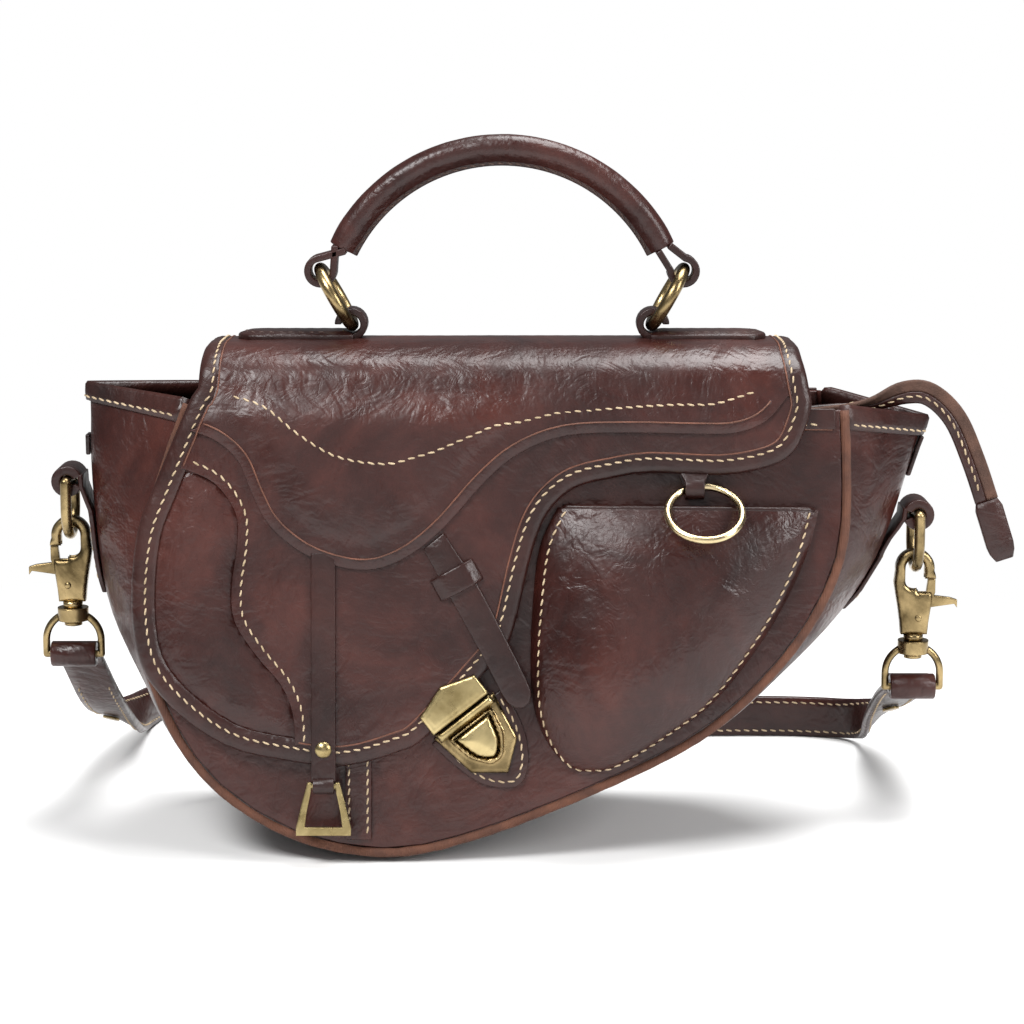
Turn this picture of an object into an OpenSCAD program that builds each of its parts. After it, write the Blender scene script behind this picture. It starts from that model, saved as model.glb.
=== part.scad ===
// Saddle handbag. Millimetres, +Z up, front towards -Y.
// The origin lies on the floor, at the middle of the flat foot of the body.

/* [Body] */
// Width of the mouth from corner to corner
body_w = 300; // [240:5:340]
// Height of the body panels along their slope
body_h = 160; // [140:2:190]
// Depth of the body at the floor
base_depth = 100; // [80:2:130]
// Backward lean of the front and back panels
panel_lean = 7.5; // [4:0.5:9]
// Thickness of the panel leather
panel_t = 2.2; // [1.6:0.1:3]
// Thickness of the gusset leather
gusset_t = 2; // [1.4:0.1:3]
// How far the gusset swells out past the panel seam
gusset_swell = 6; // [4:0.5:9]
// How far the gusset folds out at the left mouth corner
wing_flare_left = 37; // [25:1:42]
// How far the gusset folds out at the right mouth corner
wing_flare_right = 29; // [20:1:40]
// How far the right mouth corner hangs below the left one
corner_drop = 10; // [0:1:14]
// Diameter of the piping in the front and back seams
welt_d = 3.2; // [2.4:0.2:4]
// Height of the binding round the mouth
rim_h = 7; // [5:0.5:10]
// Thickness of the binding round the mouth
rim_t = 1.2; // [0.8:0.1:1.8]

/* [Flap] */
// Width of the flap at its widest
flap_w = 234; // [200:2:250]
// Drop of the flap from its top bend to its lowest edge
flap_drop = 144; // [120:2:150]
// Height of the top of the flap above the floor
flap_top_z = 176; // [170:1:200]
// Thickness of the flap leather
flap_t = 2; // [1.4:0.1:3]
// Space between the front panel and the underside of the flap
flap_gap = 2; // [1.8:0.1:4]
// Width of the rolled edge binding
binding_w = 8.2; // [6:0.2:11]
// Thickness of the binding leather on each face of the flap
binding_t = 1; // [0.8:0.1:1.6]
// Thickness of the centre panel of the flap
centre_t = 1.4; // [1:0.1:2]
// Thickness of the saddle seat overlay
seat_t = 2.6; // [2:0.1:4]

/* [Handle] */
// Distance between the pivots in the two handle tabs
tab_span = 106; // [90:2:120]
// Outer diameter of the brass handle rings
ring_d = 27; // [24:1:32]
// Diameter of the wire of the handle rings
ring_wire = 4.3; // [3.6:0.1:5]
// Outward lean of the handle rings
ring_lean = 29.5; // [15:0.5:35]
// Height of the handle arch above its end pivots
arch_rise = 43; // [36:1:55]
// Outer diameter of the rolled handle
handle_d = 9; // [7:0.5:12]
// Diameter of the cord core of the handle
core_d = 6.4; // [4:0.2:6.8]

/* [Lock] */
// Width of the tuck lock
lock_w = 26; // [22:1:32]
// Height of the lock body from its tip to its top edge
lock_h = 25; // [22:1:32]
// Turn of the lock from upright
lock_turn = 38; // [30:1:45]
// Travel of the lock button
button_travel = 1.5; // [1:0.1:2]

/* [Pocket and ring] */
// Bulge of the patch pocket at its fullest
pocket_bulge = 17; // [8:1:22]
// Thickness of the pocket leather
pocket_t = 1.8; // [1.2:0.1:2.4]
// Outer diameter of the key ring
key_ring_d = 28; // [22:1:32]
// Diameter of the key ring wire
key_wire = 2.6; // [2:0.1:3.2]

/* [Side hardware] */
// Width of the shoulder strap
strap_w = 16; // [14:1:20]
// Thickness of the shoulder strap
strap_t = 3; // [2:0.2:4]
// Inner width of the D-rings
d_ring_w = 17; // [15:1:20]
// Diameter of the D-ring wire
d_wire = 3.8; // [3:0.1:4.4]
// Outer width of the snap hook eye
hook_eye_w = 15; // [14:0.5:18]
// Thickness of the cast snap hook
hook_t = 5; // [4:0.2:6]
// Opening angle of the hook trigger
trigger_turn = 20; // [10:1:25]

/* [Hidden] */
$fn = 32;

leather = [0.27, 0.16, 0.15];
leather_dark = [0.2, 0.13, 0.12];
leather_warm = [0.36, 0.2, 0.14];
brass = [0.67, 0.55, 0.33];
pale_gold = [0.82, 0.7, 0.45];
tape_brown = [0.33, 0.2, 0.15];

// Clearances and small overruns
gap = 0.3;
seam_gap = 0.15;
// Play of the flap in the fold of its binding, and of the hook's eye on its D-ring
fold_play = 0.02;
link_play = 0.6;
overrun = 1;

// Curve helpers

// Point on a Catmull-Rom curve between points b and c
function spline_at(a, b, c, d, t) =
    (2 * b + (c - a) * t + (2 * a - 5 * b + 4 * c - d) * t * t
    + (3 * b - a - 3 * c + d) * t * t * t) / 2;
// Smooth open curve through the points p with n steps a stretch
function curve(p, n) = let (last = len(p) - 1) concat(
    [for (i = [0 : last - 1], k = [0 : n - 1])
        spline_at(p[max(i - 1, 0)], p[i], p[i + 1], p[min(i + 2, last)], k / n)],
    [p[last]]);
// Shares of a width and a height as points
function scaled(shares, w, h) = [for (s = shares) [s[0] * w, s[1] * h]];
// Unit normal to the left of the way along the curve p at point i
function left_of(p, i) = let (
    d = p[min(i + 1, len(p) - 1)] - p[max(i - 1, 0)]) [-d[1], d[0]] / norm(d);
// The curve p moved to its left by d
function inset(p, d) = [for (i = [0 : len(p) - 1]) p[i] + left_of(p, i) * d];
function reversed(p) = [for (i = [len(p) - 1 : -1 : 0]) p[i]];
// A closed band between the curve p and the same curve moved by d
function band(p, d) = concat(p, reversed(inset(p, d)));

// A solid between two grids of points, outer and inner, with rows and columns alike
module shell_grid(outer, inner) {
    n = len(outer);
    m = len(outer[0]);
    function o(i, k) = i * m + k;
    function q(i, k) = n * m + i * m + k;
    skins = [for (i = [0 : n - 2], k = [0 : m - 2]) each [
        [o(i, k), o(i, k + 1), o(i + 1, k + 1)], [o(i, k), o(i + 1, k + 1), o(i + 1, k)],
        [q(i, k), q(i + 1, k + 1), q(i, k + 1)], [q(i, k), q(i + 1, k), q(i + 1, k + 1)]]];
    sides = [for (i = [0 : n - 2]) each [
        [o(i, 0), o(i + 1, 0), q(i + 1, 0)], [o(i, 0), q(i + 1, 0), q(i, 0)],
        [o(i, m - 1), q(i, m - 1), q(i + 1, m - 1)],
        [o(i, m - 1), q(i + 1, m - 1), o(i + 1, m - 1)]]];
    ends = [for (k = [0 : m - 2]) each [
        [o(0, k), q(0, k), q(0, k + 1)], [o(0, k), q(0, k + 1), o(0, k + 1)],
        [o(n - 1, k), q(n - 1, k + 1), q(n - 1, k)],
        [o(n - 1, k), o(n - 1, k + 1), q(n - 1, k + 1)]]];
    polyhedron(points = concat([for (r = outer) each r], [for (r = inner) each r]),
        faces = concat(skins, sides, ends));
}

// A round tube of radius r swept along 3D points
module swept_tube(path, r, sides) {
    n = len(path);
    rings = [for (i = [0 : n - 1]) let (
        d = path[min(i + 1, n - 1)] - path[max(i - 1, 0)], t = d / norm(d),
        u0 = cross(t, [0, 1, 0]), u = u0 / norm(u0), v = cross(t, u))
        [for (k = [0 : sides - 1]) path[i] + r * (u * cos(360 * k / sides)
            + v * sin(360 * k / sides))]];
    walls = [for (i = [0 : n - 2], k = [0 : sides - 1]) let (j = (k + 1) % sides) each [
        [i * sides + k, (i + 1) * sides + j, i * sides + j],
        [i * sides + k, (i + 1) * sides + k, (i + 1) * sides + j]]];
    polyhedron(points = [for (ring = rings) each ring], faces = concat(walls,
        [[for (k = [0 : sides - 1]) k]], [[for (k = [sides - 1 : -1 : 0]) (n - 1) * sides + k]]));
}

// Frames

// The body's middle stands off the origin, which is under its lowest stretch
foot_share = -0.137;
module from_foot() {
    translate([-foot_share * body_w, 0, 0]) children();
}
half_base = base_depth / 2;
// Children drawn in the plane of the front panel, z pointing out of its face
module on_front(w = 0) {
    translate([0, -half_base, 0]) rotate([90 - panel_lean, 0, 0]) translate([0, 0, w]) children();
}
// The same on the back panel
module on_back(w = 0) {
    mirror([0, 1, 0]) on_front(w) children();
}
// Place of a point of the front plane, v up its slope and w out of its face
function front_y(v, w) = -half_base + v * sin(panel_lean) - w * cos(panel_lean);
function front_z(v, w) = v * cos(panel_lean) + w * sin(panel_lean);
module plate(w, t, points) {
    on_front(w) linear_extrude(t) polygon(points);
}

// Body

// Seam of the panels from the left mouth, down and round to the right mouth
seam_shares = [[-0.355, 0.985], [-0.388, 0.81], [-0.41, 0.62], [-0.408, 0.48], [-0.375, 0.3],
    [-0.323, 0.168], [-0.237, 0.068], [-0.137, 0.031], [-0.047, 0.06], [0.067, 0.138],
    [0.203, 0.256], [0.283, 0.37], [0.347, 0.513], [0.383, 0.66], [0.39, 0.81], [0.387, 0.975]];
seam = curve(scaled(seam_shares, body_w, body_h), 2);
seam_n = len(seam);

// How much of the wing's fold shows at height v, and the right corner's drop
function wing_share(v) = pow(v / body_h, 2);
function wing_flare(i) = i < seam_n / 2 ? wing_flare_left : wing_flare_right;
drop_bend_share = 6;
function drop_at(i) =
    i > seam_n / 2 ? corner_drop * pow(seam[i][1] / body_h, drop_bend_share) : 0;
// Half width of the flat ridge of the gusset at height v
ridge_half = d_ring_w / 2 + overrun;
// Its width at the mouth, and the stretch below the mouth over which it narrows
ridge_end_share = 0.12;
ridge_narrow_share = 0.18;
function ridge_at(v) =
    ridge_half * max(ridge_end_share, min(1, (1 - v / body_h) / ridge_narrow_share));
// Depth of the gusset's knuckle as a share of its way to the ridge
knuckle_share = 0.16;
// How much of the swell is lost where the wing is full
swell_fade = 0.8;
// Place of the front panel's inner face at height z
function panel_back_y(z) = front_y((z + panel_t * sin(panel_lean)) / cos(panel_lean), -panel_t);

// One section of the gusset at seam point i, moved out by off
function gusset_row(i, off) = let (
    p = seam[i], n = -left_of(seam, i), v = p[1], wing = wing_flare(i) * wing_share(v),
    swell = gusset_swell * (1 - wing_share(v) * swell_fade), z0 = v * cos(panel_lean),
    edge = panel_back_y(z0 + n[1] * off),
    ridge = ridge_at(v), knuckle = edge * (1 - knuckle_share),
    drop = drop_at(i),
    place = [[0, edge, 0], [swell + wing * knuckle_share, knuckle, knuckle_share],
        [gusset_swell + wing, -ridge, 1], [gusset_swell + wing, ridge, 1],
        [swell + wing * knuckle_share, -knuckle, knuckle_share], [0, -edge, 0]])
    [for (s = place) [p[0] + n[0] * (s[0] + off), s[1],
        max(off < 0 ? -off : 0, z0 + n[1] * (s[0] + off) - drop * s[2])]];
function gusset_grid(off) = [for (i = [0 : seam_n - 1]) gusset_row(i, off)];

module front_panel() {
    color(leather) from_foot() plate(-panel_t, panel_t, seam);
}
module back_panel() {
    color(leather) from_foot() on_back(-panel_t) linear_extrude(panel_t) polygon(seam);
}
module gusset() {
    color(leather) from_foot() shell_grid(reversed(gusset_grid(0)), reversed(gusset_grid(-gusset_t)));
}

welt_r = welt_d / 2;
welt_sides = 8;
welt_path = [for (q = inset(seam, -welt_r - seam_gap))
    [q[0], front_y(q[1], welt_r - panel_t), front_z(q[1], welt_r - panel_t)]];
module front_welt() {
    color(leather_warm) from_foot() swept_tube(welt_path, welt_r, welt_sides);
}
module back_welt() {
    color(leather_warm) from_foot() mirror([0, 1, 0]) swept_tube(welt_path, welt_r, welt_sides);
}

// Binding round the mouth: a strip on each panel and one round each wing
rim_over = 0.6;
rim_end = 1.5;
module rim_strip() {
    a = seam[0] + [rim_end, rim_over];
    b = seam[seam_n - 1] + [-rim_end, rim_over];
    linear_extrude(rim_t) polygon([a - [0, rim_h], b - [0, rim_h], b, a]);
}
module mouth_binding_front() {
    color(leather_dark) from_foot() on_front(seam_gap) rim_strip();
}
module mouth_binding_back() {
    color(leather_dark) from_foot() on_back(seam_gap) rim_strip();
}
// Wing binding rows at the share s of the way from the mouth to the next section
function wing_row(i, next, s, off) = let (a = gusset_row(i, off), b = gusset_row(next, off))
    [for (k = [1 : len(a) - 2]) a[k] + (b[k] - a[k]) * s + [0, 0, (1 - 2 * s) * rim_over]];
module wing_binding(i, next) {
    s = rim_h / norm(seam[i] - seam[next]);
    rows = [for (off = [2 * gap + rim_t, 2 * gap]) [wing_row(i, next, 0, off), wing_row(i, next, s, off)]];
    if (i < next) shell_grid(reversed(rows[0]), reversed(rows[1]));
    else shell_grid(rows[0], rows[1]);
}
module mouth_binding_left() {
    color(leather_dark) from_foot() wing_binding(0, 1);
}
module mouth_binding_right() {
    color(leather_dark) from_foot() wing_binding(seam_n - 1, seam_n - 2);
}

// Narrow strip sewn down the front panel, its lower end showing under the flap
strip_x_share = -0.165;
strip_w = 9;
strip_t = 1.6;
strip_low = 8;
strip_top = 62;
module seam_strip() {
    color(leather) from_foot() on_front() translate([body_w * strip_x_share - strip_w / 2, strip_low, 0])
        cube([strip_w, strip_top - strip_low, strip_t]);
}

// Patch pocket, as rows from its mouth down to its tip: left and right ends, swell
pocket_rows = [[0.064, 0.768, 0.363, 0.762, 0.42], [0.043, 0.68, 0.35, 0.67, 0.78],
    [0.035, 0.545, 0.32, 0.545, 0.97], [0.033, 0.425, 0.278, 0.425, 1],
    [0.037, 0.335, 0.236, 0.335, 0.85], [0.052, 0.262, 0.181, 0.262, 0.55],
    [0.075, 0.212, 0.135, 0.212, 0.2], [0.096, 0.198, 0.112, 0.198, 0]];
pocket_columns = 12;
// Lower values give the pocket a flatter face and steeper sides
pocket_crown_share = 0.7;
function pocket_grid(off) = let (fine = curve(pocket_rows, 2)) [for (r = fine)
    [for (k = [0 : pocket_columns]) let (s = k / pocket_columns,
        u = (r[0] + (r[2] - r[0]) * s) * body_w, v = (r[1] + (r[3] - r[1]) * s) * body_h,
        w = off + seam_gap / 2 + pocket_bulge * max(0, r[4]) * pow(sin(180 * s), pocket_crown_share))
        [u, front_y(v, w), front_z(v, w)]]];
module patch_pocket() {
    color(leather) from_foot() shell_grid(pocket_grid(pocket_t), pocket_grid(0));
}

// Flap

flap_v = flap_top_z + flap_t;
function on_flap(shares) = [for (s = shares) [s[0] * flap_w, flap_v - s[1] * flap_drop]];
// Levels of the layers above the front panel
core_w = flap_gap + binding_t;
centre_w = core_w + flap_t;
seat_w = centre_w + centre_t;
over_w = seat_w;
// Outer edge of the flap, from the left top down and round to the right top
flap_shares = [[-0.444, 0.1], [-0.453, 0.118], [-0.479, 0.215], [-0.509, 0.333],
    [-0.534, 0.444], [-0.543, 0.611], [-0.53, 0.757], [-0.483, 0.861], [-0.406, 0.951],
    [-0.32, 0.986], [-0.231, 1], [-0.15, 0.965], [-0.111, 0.93], [-0.026, 0.778],
    [0.013, 0.694], [0.038, 0.528], [0.056, 0.431], [0.077, 0.375], [0.111, 0.333],
    [0.162, 0.313], [0.218, 0.3], [0.321, 0.306], [0.393, 0.285], [0.427, 0.25],
    [0.444, 0.194], [0.453, 0.139], [0.449, 0.1]];
flap_edge = curve(on_flap(flap_shares), 2);
flap_field = inset(flap_edge, binding_w + seam_gap);

// The flap's own bend over the mouth, as a path seen from the side
hinge_v = 149;
hinge_w = 2.8;
hinge_y = -front_y(hinge_v, hinge_w);
hinge_z = front_z(hinge_v, hinge_w);
bend_shares = [[1, 0], [0.98, 0.37], [0.88, 0.74], [0.5, 0.96], [0, 1], [-0.54, 0.985],
    [-0.86, 0.82]];
// Where the bend runs out into the flat of the flap, and where the flat layers start
run_out_shares = [0.078, 0.095, 0.16];
layer_top_share = 0.165;
core_mid = core_w + flap_t / 2;
run_out = [for (s = run_out_shares) let (v = flap_v - flap_drop * s)
    [front_y(v, core_mid), front_z(v, core_mid)]];
bend_path = concat(curve(concat(scaled(bend_shares, hinge_y, flap_top_z - flap_t / 2 - hinge_z)
    + [for (s = bend_shares) [0, hinge_z]], [run_out[0]]), 3), [run_out[1], run_out[2]]);
flap_half_share = 0.438;
flap_top_w = 2 * flap_half_share * flap_w;
module flap() {
    color(leather) from_foot() {
        plate(core_w, flap_t, inset(flap_edge, binding_t));
        rotate([90, 0, 90]) translate([0, 0, -flap_top_w / 2]) {
            linear_extrude(flap_top_w) polygon(band(inset(bend_path, -flap_t / 2), flap_t));
            translate([hinge_y, hinge_z, 0]) cylinder(h = flap_top_w, r = flap_t / 2);
        }
    }
}
anchor_v = 112;
anchor_share = 0.68;
anchor_w = body_w * anchor_share;
module flap_anchor() {
    color(leather) from_foot() on_back() translate([-anchor_w / 2, anchor_v, 0])
        cube([anchor_w, hinge_v - flap_t / 2 - gap - overrun / 2 - anchor_v, flap_t]);
}
// The binding's fold runs on past its two ends
edge_last = len(flap_edge) - 1;
fold_run = 4;
fold_edge = concat([flap_edge[0] + (flap_edge[0] - flap_edge[1]) * fold_run], flap_edge,
    [flap_edge[edge_last] + (flap_edge[edge_last] - flap_edge[edge_last - 1]) * fold_run]);
module flap_binding() {
    color(leather_dark) from_foot() difference() {
        plate(flap_gap, flap_t + 2 * binding_t, band(flap_edge, binding_w));
        plate(core_w - fold_play, flap_t + 2 * fold_play,
            band(inset(fold_edge, binding_t - fold_play), binding_w + overrun));
    }
}
// Left edge of the centre panel, over the knee roll
knee_shares = [[-0.513, 0.285], [-0.462, 0.292], [-0.419, 0.326], [-0.389, 0.396],
    [-0.387, 0.472], [-0.395, 0.569], [-0.391, 0.653], [-0.359, 0.736], [-0.323, 0.806],
    [-0.306, 0.875], [-0.303, 1.03]];
field_corner_shares = [[0.6, 1.03], [0.6, layer_top_share], [-0.6, layer_top_share], [-0.6, 0.285]];
module flap_centre_panel() {
    color(leather) from_foot() intersection() {
        plate(centre_w, centre_t, flap_field);
        plate(centre_w, centre_t,
            concat(curve(on_flap(knee_shares), 3), on_flap(field_corner_shares)));
    }
}
// Free lower edge of the saddle seat
seat_shares = [[-0.479, 0.187], [-0.419, 0.222], [-0.385, 0.271], [-0.363, 0.354],
    [-0.338, 0.427], [-0.291, 0.49], [-0.235, 0.524], [-0.184, 0.528], [-0.132, 0.493],
    [-0.081, 0.424], [-0.026, 0.323], [0.026, 0.253], [0.094, 0.212], [0.188, 0.205],
    [0.286, 0.208], [0.342, 0.205], [0.385, 0.185], [0.44, 0.17]];
seat_corner_shares = [[0.6, layer_top_share], [-0.6, layer_top_share]];
module flap_seat() {
    color(leather) from_foot() intersection() {
        plate(seat_w, seat_t, flap_field);
        plate(seat_w, seat_t,
            concat(curve(on_flap(seat_shares), 3), on_flap(seat_corner_shares)));
    }
}

// Stirrup strap and stirrup

stirrup_x_share = -0.261;
stirrup_strap_w = 8.4;
stirrup_strap_t = 2;
stirrup_bar_d = 2.4;
stirrup_bar_v = 27.5;
stirrup_strap_top_share = 0.522;
stirrup_strap_v = flap_v - flap_drop * stirrup_strap_top_share;
stirrup_loop_wall = 1.4;
stirrup_loop_r = stirrup_bar_d / 2 + gap + stirrup_loop_wall;
stirrup_w = over_w + stirrup_strap_t / 2;
stirrup_loop_w = 7.2;
// How far up its loop the stirrup strap starts
strap_start_share = 0.6;
stirrup_strap_low = stirrup_bar_v + stirrup_loop_r * strap_start_share;
rivet_d = 5.6;
rivet_shank_d = 2;
rivet_v = 40;
rivet_dome = 1.6;
rivet_crown_r = 3.9;
module at_stirrup() {
    on_front(stirrup_w) translate([flap_w * stirrup_x_share, stirrup_bar_v, 0]) children();
}
module stirrup_strap() {
    color(leather_dark) from_foot() difference() {
        union() {
            on_front(over_w) translate([flap_w * stirrup_x_share - stirrup_strap_w / 2,
                stirrup_strap_low, 0]) cube([stirrup_strap_w,
                stirrup_strap_v - stirrup_strap_low, stirrup_strap_t]);
            at_stirrup() rotate([0, 90, 0])
                cylinder(h = stirrup_loop_w, r = stirrup_loop_r, center = true);
        }
        at_stirrup() rotate([0, 90, 0]) cylinder(h = stirrup_loop_w + overrun,
            r = stirrup_bar_d / 2 + gap, center = true);
        on_front(over_w - overrun) translate([flap_w * stirrup_x_share, rivet_v, 0])
            cylinder(h = stirrup_strap_t + 2 * overrun, d = rivet_shank_d);
    }
}
module stirrup_rivet() {
    color(brass) from_foot() on_front(over_w) translate([flap_w * stirrup_x_share, rivet_v, 0]) {
        cylinder(h = stirrup_strap_t, d = rivet_shank_d);
        translate([0, 0, stirrup_strap_t]) intersection() {
            cylinder(h = rivet_dome, d = rivet_d);
            translate([0, 0, rivet_dome - rivet_crown_r]) sphere(r = rivet_crown_r);
        }
    }
}
// Outline of the stirrup's legs and tread as shares of its width and height
stirrup_size = [18.8, 18.2];
stirrup_plate_t = 2.4;
stirrup_bar_len = 9.4;
stirrup_outer_shares = [[-0.29, 0.066], [-0.4, -0.35], [-0.5, -0.78], [-0.5, -0.934],
    [0.5, -0.934], [0.5, -0.78], [0.4, -0.35], [0.29, 0.066]];
stirrup_inner_shares = [[-0.22, 0.15], [-0.22, -0.05], [-0.31, -0.5], [-0.345, -0.78],
    [0.345, -0.78], [0.31, -0.5], [0.22, -0.05], [0.22, 0.15]];
module stirrup() {
    color(brass) from_foot() at_stirrup() {
        difference() {
            translate([0, 0, -stirrup_plate_t / 2]) linear_extrude(stirrup_plate_t)
                polygon(scaled(stirrup_outer_shares, stirrup_size[0], stirrup_size[1]));
            translate([0, 0, -stirrup_plate_t]) linear_extrude(2 * stirrup_plate_t)
                polygon(scaled(stirrup_inner_shares, stirrup_size[0], stirrup_size[1]));
        }
        rotate([0, 90, 0]) cylinder(h = stirrup_bar_len, d = stirrup_bar_d, center = true);
    }
}

// Billet strap that runs down across the flap, with its keeper
billet_shares = [[-0.115, 0.482], [-0.073, 0.604], [-0.026, 0.743], [0, 0.826],
    [0.013, 0.854], [0.03, 0.861], [0.043, 0.84], [0.038, 0.799], [0.004, 0.688],
    [-0.034, 0.569], [-0.085, 0.442]];
billet_t = 2;
keeper_size = [17, 8.5];
keeper_t = 1.4;
keeper_turn = 28.5;
keeper_place_share = [-0.066, 0.555];
keeper_channel = 11.6;
module billet_strap() {
    color(leather_dark) from_foot() plate(over_w, billet_t, on_flap(billet_shares));
}
module billet_keeper() {
    color(leather_dark) from_foot() on_front(over_w) translate(on_flap([keeper_place_share])[0])
        rotate(keeper_turn) difference() {
        translate([-keeper_size[0] / 2, -keeper_size[1] / 2, 0])
            cube([keeper_size[0], keeper_size[1], billet_t + gap + keeper_t]);
        translate([-keeper_channel / 2, -keeper_size[1], -overrun])
            cube([keeper_channel, 2 * keeper_size[1], billet_t + gap + overrun]);
    }
}

// Tuck lock, in its own turned frame: x along its top edge, y towards the flap

lock_place_share = [-0.051, 0.892];
backing_t = 1.6;
lock_base_t = 1.6;
lock_body_w = backing_t + lock_base_t;
lock_case_t = 3.4;
lock_plate_t = 1.6;
lock_edge = 2;
module on_lock(w) {
    on_front(w) translate(on_flap([lock_place_share])[0]) rotate(lock_turn) children();
}
lock_base_shares = [[-0.5, 0], [-0.385, -0.69], [0, -1], [0.385, -0.69], [0.5, 0]];
lock_case_shares = [[-0.36, -0.13], [-0.29, -0.52], [-0.1, -0.78], [0.1, -0.78],
    [0.29, -0.52], [0.36, -0.13]];
lock_button_shares = [[-0.26, -0.2], [-0.17, -0.55], [0, -0.71], [0.17, -0.55], [0.26, -0.2]];
lock_mid_share = 0.45;
// Growth of the lock's size that leaves the gap round the button
button_growth = 1.1;
lock_top_shares = [[-0.46, 0.05], [-0.46, 0.36], [0, 0.52], [0.46, 0.36], [0.46, 0.05]];
lock_bar_shares = [0.9, 0.11];
button_t = 3.8;
button_rise = 0.7;
module lock_outline(shares, grow = 0) {
    polygon([for (s = shares) [s[0] * (lock_w + grow), lock_edge - lock_mid_share * lock_h
        + (s[1] + lock_mid_share) * (lock_h + grow)]]);
}
module lock_body() {
    color(brass) from_foot() difference() {
        union() {
            on_lock(backing_t) linear_extrude(lock_base_t) lock_outline(lock_base_shares);
            on_lock(lock_body_w) linear_extrude(lock_case_t) lock_outline(lock_case_shares);
            on_lock(lock_body_w) translate([-lock_bar_shares[0] * lock_w / 2,
                lock_edge - lock_bar_shares[1] * lock_h, 0])
                cube([lock_bar_shares[0] * lock_w, lock_bar_shares[1] * lock_h, lock_case_t]);
        }
        on_lock(lock_body_w + lock_case_t + button_rise - button_t - button_travel - gap)
            linear_extrude(button_t + lock_case_t + button_travel)
            lock_outline(lock_button_shares, button_growth);
    }
}
module lock_button() {
    color(brass) from_foot() on_lock(lock_body_w + lock_case_t + button_rise - button_t)
        linear_extrude(button_t) lock_outline(lock_button_shares);
}
module lock_top_plate() {
    color(brass) from_foot() on_lock(over_w) linear_extrude(lock_plate_t) lock_outline(lock_top_shares);
}
backing_shares = [[-0.57, -0.04], [-0.52, -0.4], [-0.4, -0.85], [-0.2, -1.12], [0.02, -1.24],
    [0.26, -1.1], [0.46, -0.8], [0.58, -0.4], [0.6, -0.04]];
module lock_backing() {
    color(leather_dark) from_foot() on_lock(0) linear_extrude(backing_t)
        polygon([for (q = curve([for (s = backing_shares) [s[0] * lock_w, s[1] * lock_h]], 2))
            [q[0], q[1] + lock_edge]]);
}

// Key ring and its leather loop on the body, over the pocket mouth

key_x_share = 0.22;
key_loop_w = 12;
key_tab_rise = 3.7;
key_loop_t = 1.5;
key_v_share = 0.81;
key_v = body_h * key_v_share;
key_tab_len = 16.5;
key_tilt = 46;
key_roll = 14;
key_ring_r = (key_ring_d - key_wire) / 2;
key_tube_w = 6.6;
key_sag = key_ring_r - sqrt(pow(key_ring_r, 2) - pow(key_tube_w / 2, 2));
key_bore_r = (key_wire + key_sag) / 2 + gap + sin(key_roll) * key_tube_w / 2;
key_loop_r = key_bore_r + key_loop_t;
module at_key() {
    on_front(key_loop_r + seam_gap) translate([body_w * key_x_share, key_v, 0]) children();
}
module key_ring_loop() {
    color(leather_dark) from_foot() difference() {
        union() {
            at_key() rotate([0, 90, 0])
                cylinder(h = key_tube_w, r = key_loop_r, center = true);
            on_front(seam_gap) translate([body_w * key_x_share - key_loop_w / 2,
                key_v + key_tab_rise, 0])
                cube([key_loop_w, key_tab_len, key_loop_t]);
            on_front(seam_gap) translate([body_w * key_x_share - key_tube_w / 2, key_v, 0])
                cube([key_tube_w, key_loop_r, key_loop_t]);
        }
        at_key() rotate([0, 90, 0]) cylinder(h = key_loop_w * 2, r = key_bore_r, center = true);
    }
}
module key_ring() {
    color(pale_gold) from_foot() at_key() rotate([-key_tilt, 0, 0]) rotate(key_roll)
        translate([0, key_sag / 2 - key_ring_r, 0]) rotate_extrude()
        translate([key_ring_r, 0]) circle(d = key_wire);
}

// Handle: tabs on the flap top, two brass rings and a rolled arch

handle_ring_r = (ring_d - ring_wire) / 2;
loop_w = 10.5;
loop_wall = 2.6;
loop_sag = handle_ring_r - sqrt(pow(handle_ring_r, 2) - pow(loop_w / 2, 2));
loop_bore_r = (ring_wire + loop_sag) / 2 + gap + seam_gap / 2;
loop_r = loop_bore_r + loop_wall;
link = handle_ring_r - loop_sag / 2;
pivot_z = flap_top_z + seam_gap + loop_r;
upper_x = tab_span / 2 + 2 * link * sin(ring_lean);
upper_z = pivot_z + 2 * link * cos(ring_lean);
tab_len = 40;
tab_w = 18;
tab_t = 3.6;
module handle_tab(side) {
    color(leather_dark) from_foot()
        translate([side * tab_span / 2, 0, flap_top_z + seam_gap]) difference() {
        union() {
            translate([side > 0 ? 0 : -(tab_len - tab_w / 2), -tab_w / 2, 0])
                cube([tab_len - tab_w / 2, tab_w, tab_t]);
            translate([side * (tab_len - tab_w / 2), 0, 0]) cylinder(h = tab_t, d = tab_w);
            translate([0, 0, loop_r]) rotate([90, 0, 0])
                cylinder(h = loop_w, r = loop_r, center = true);
        }
        translate([0, 0, loop_r]) rotate([90, 0, 0])
            cylinder(h = tab_w + overrun, r = loop_bore_r, center = true);
        for (face = [-1, 1]) translate([-side * loop_r, face * (loop_w + tab_w) / 2, 0])
            cube([4 * loop_r, tab_w, 4 * loop_r], center = true);
    }
}
module handle_tab_left() { handle_tab(-1); }
module handle_tab_right() { handle_tab(1); }
module handle_ring(side) {
    color(brass) from_foot() translate([side * (tab_span / 2 + link * sin(ring_lean)), 0,
        pivot_z + link * cos(ring_lean)]) rotate([0, 90 + side * ring_lean, 0])
        rotate_extrude() translate([handle_ring_r, 0]) circle(d = ring_wire);
}
module handle_ring_left() { handle_ring(-1); }
module handle_ring_right() { handle_ring(1); }

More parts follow.
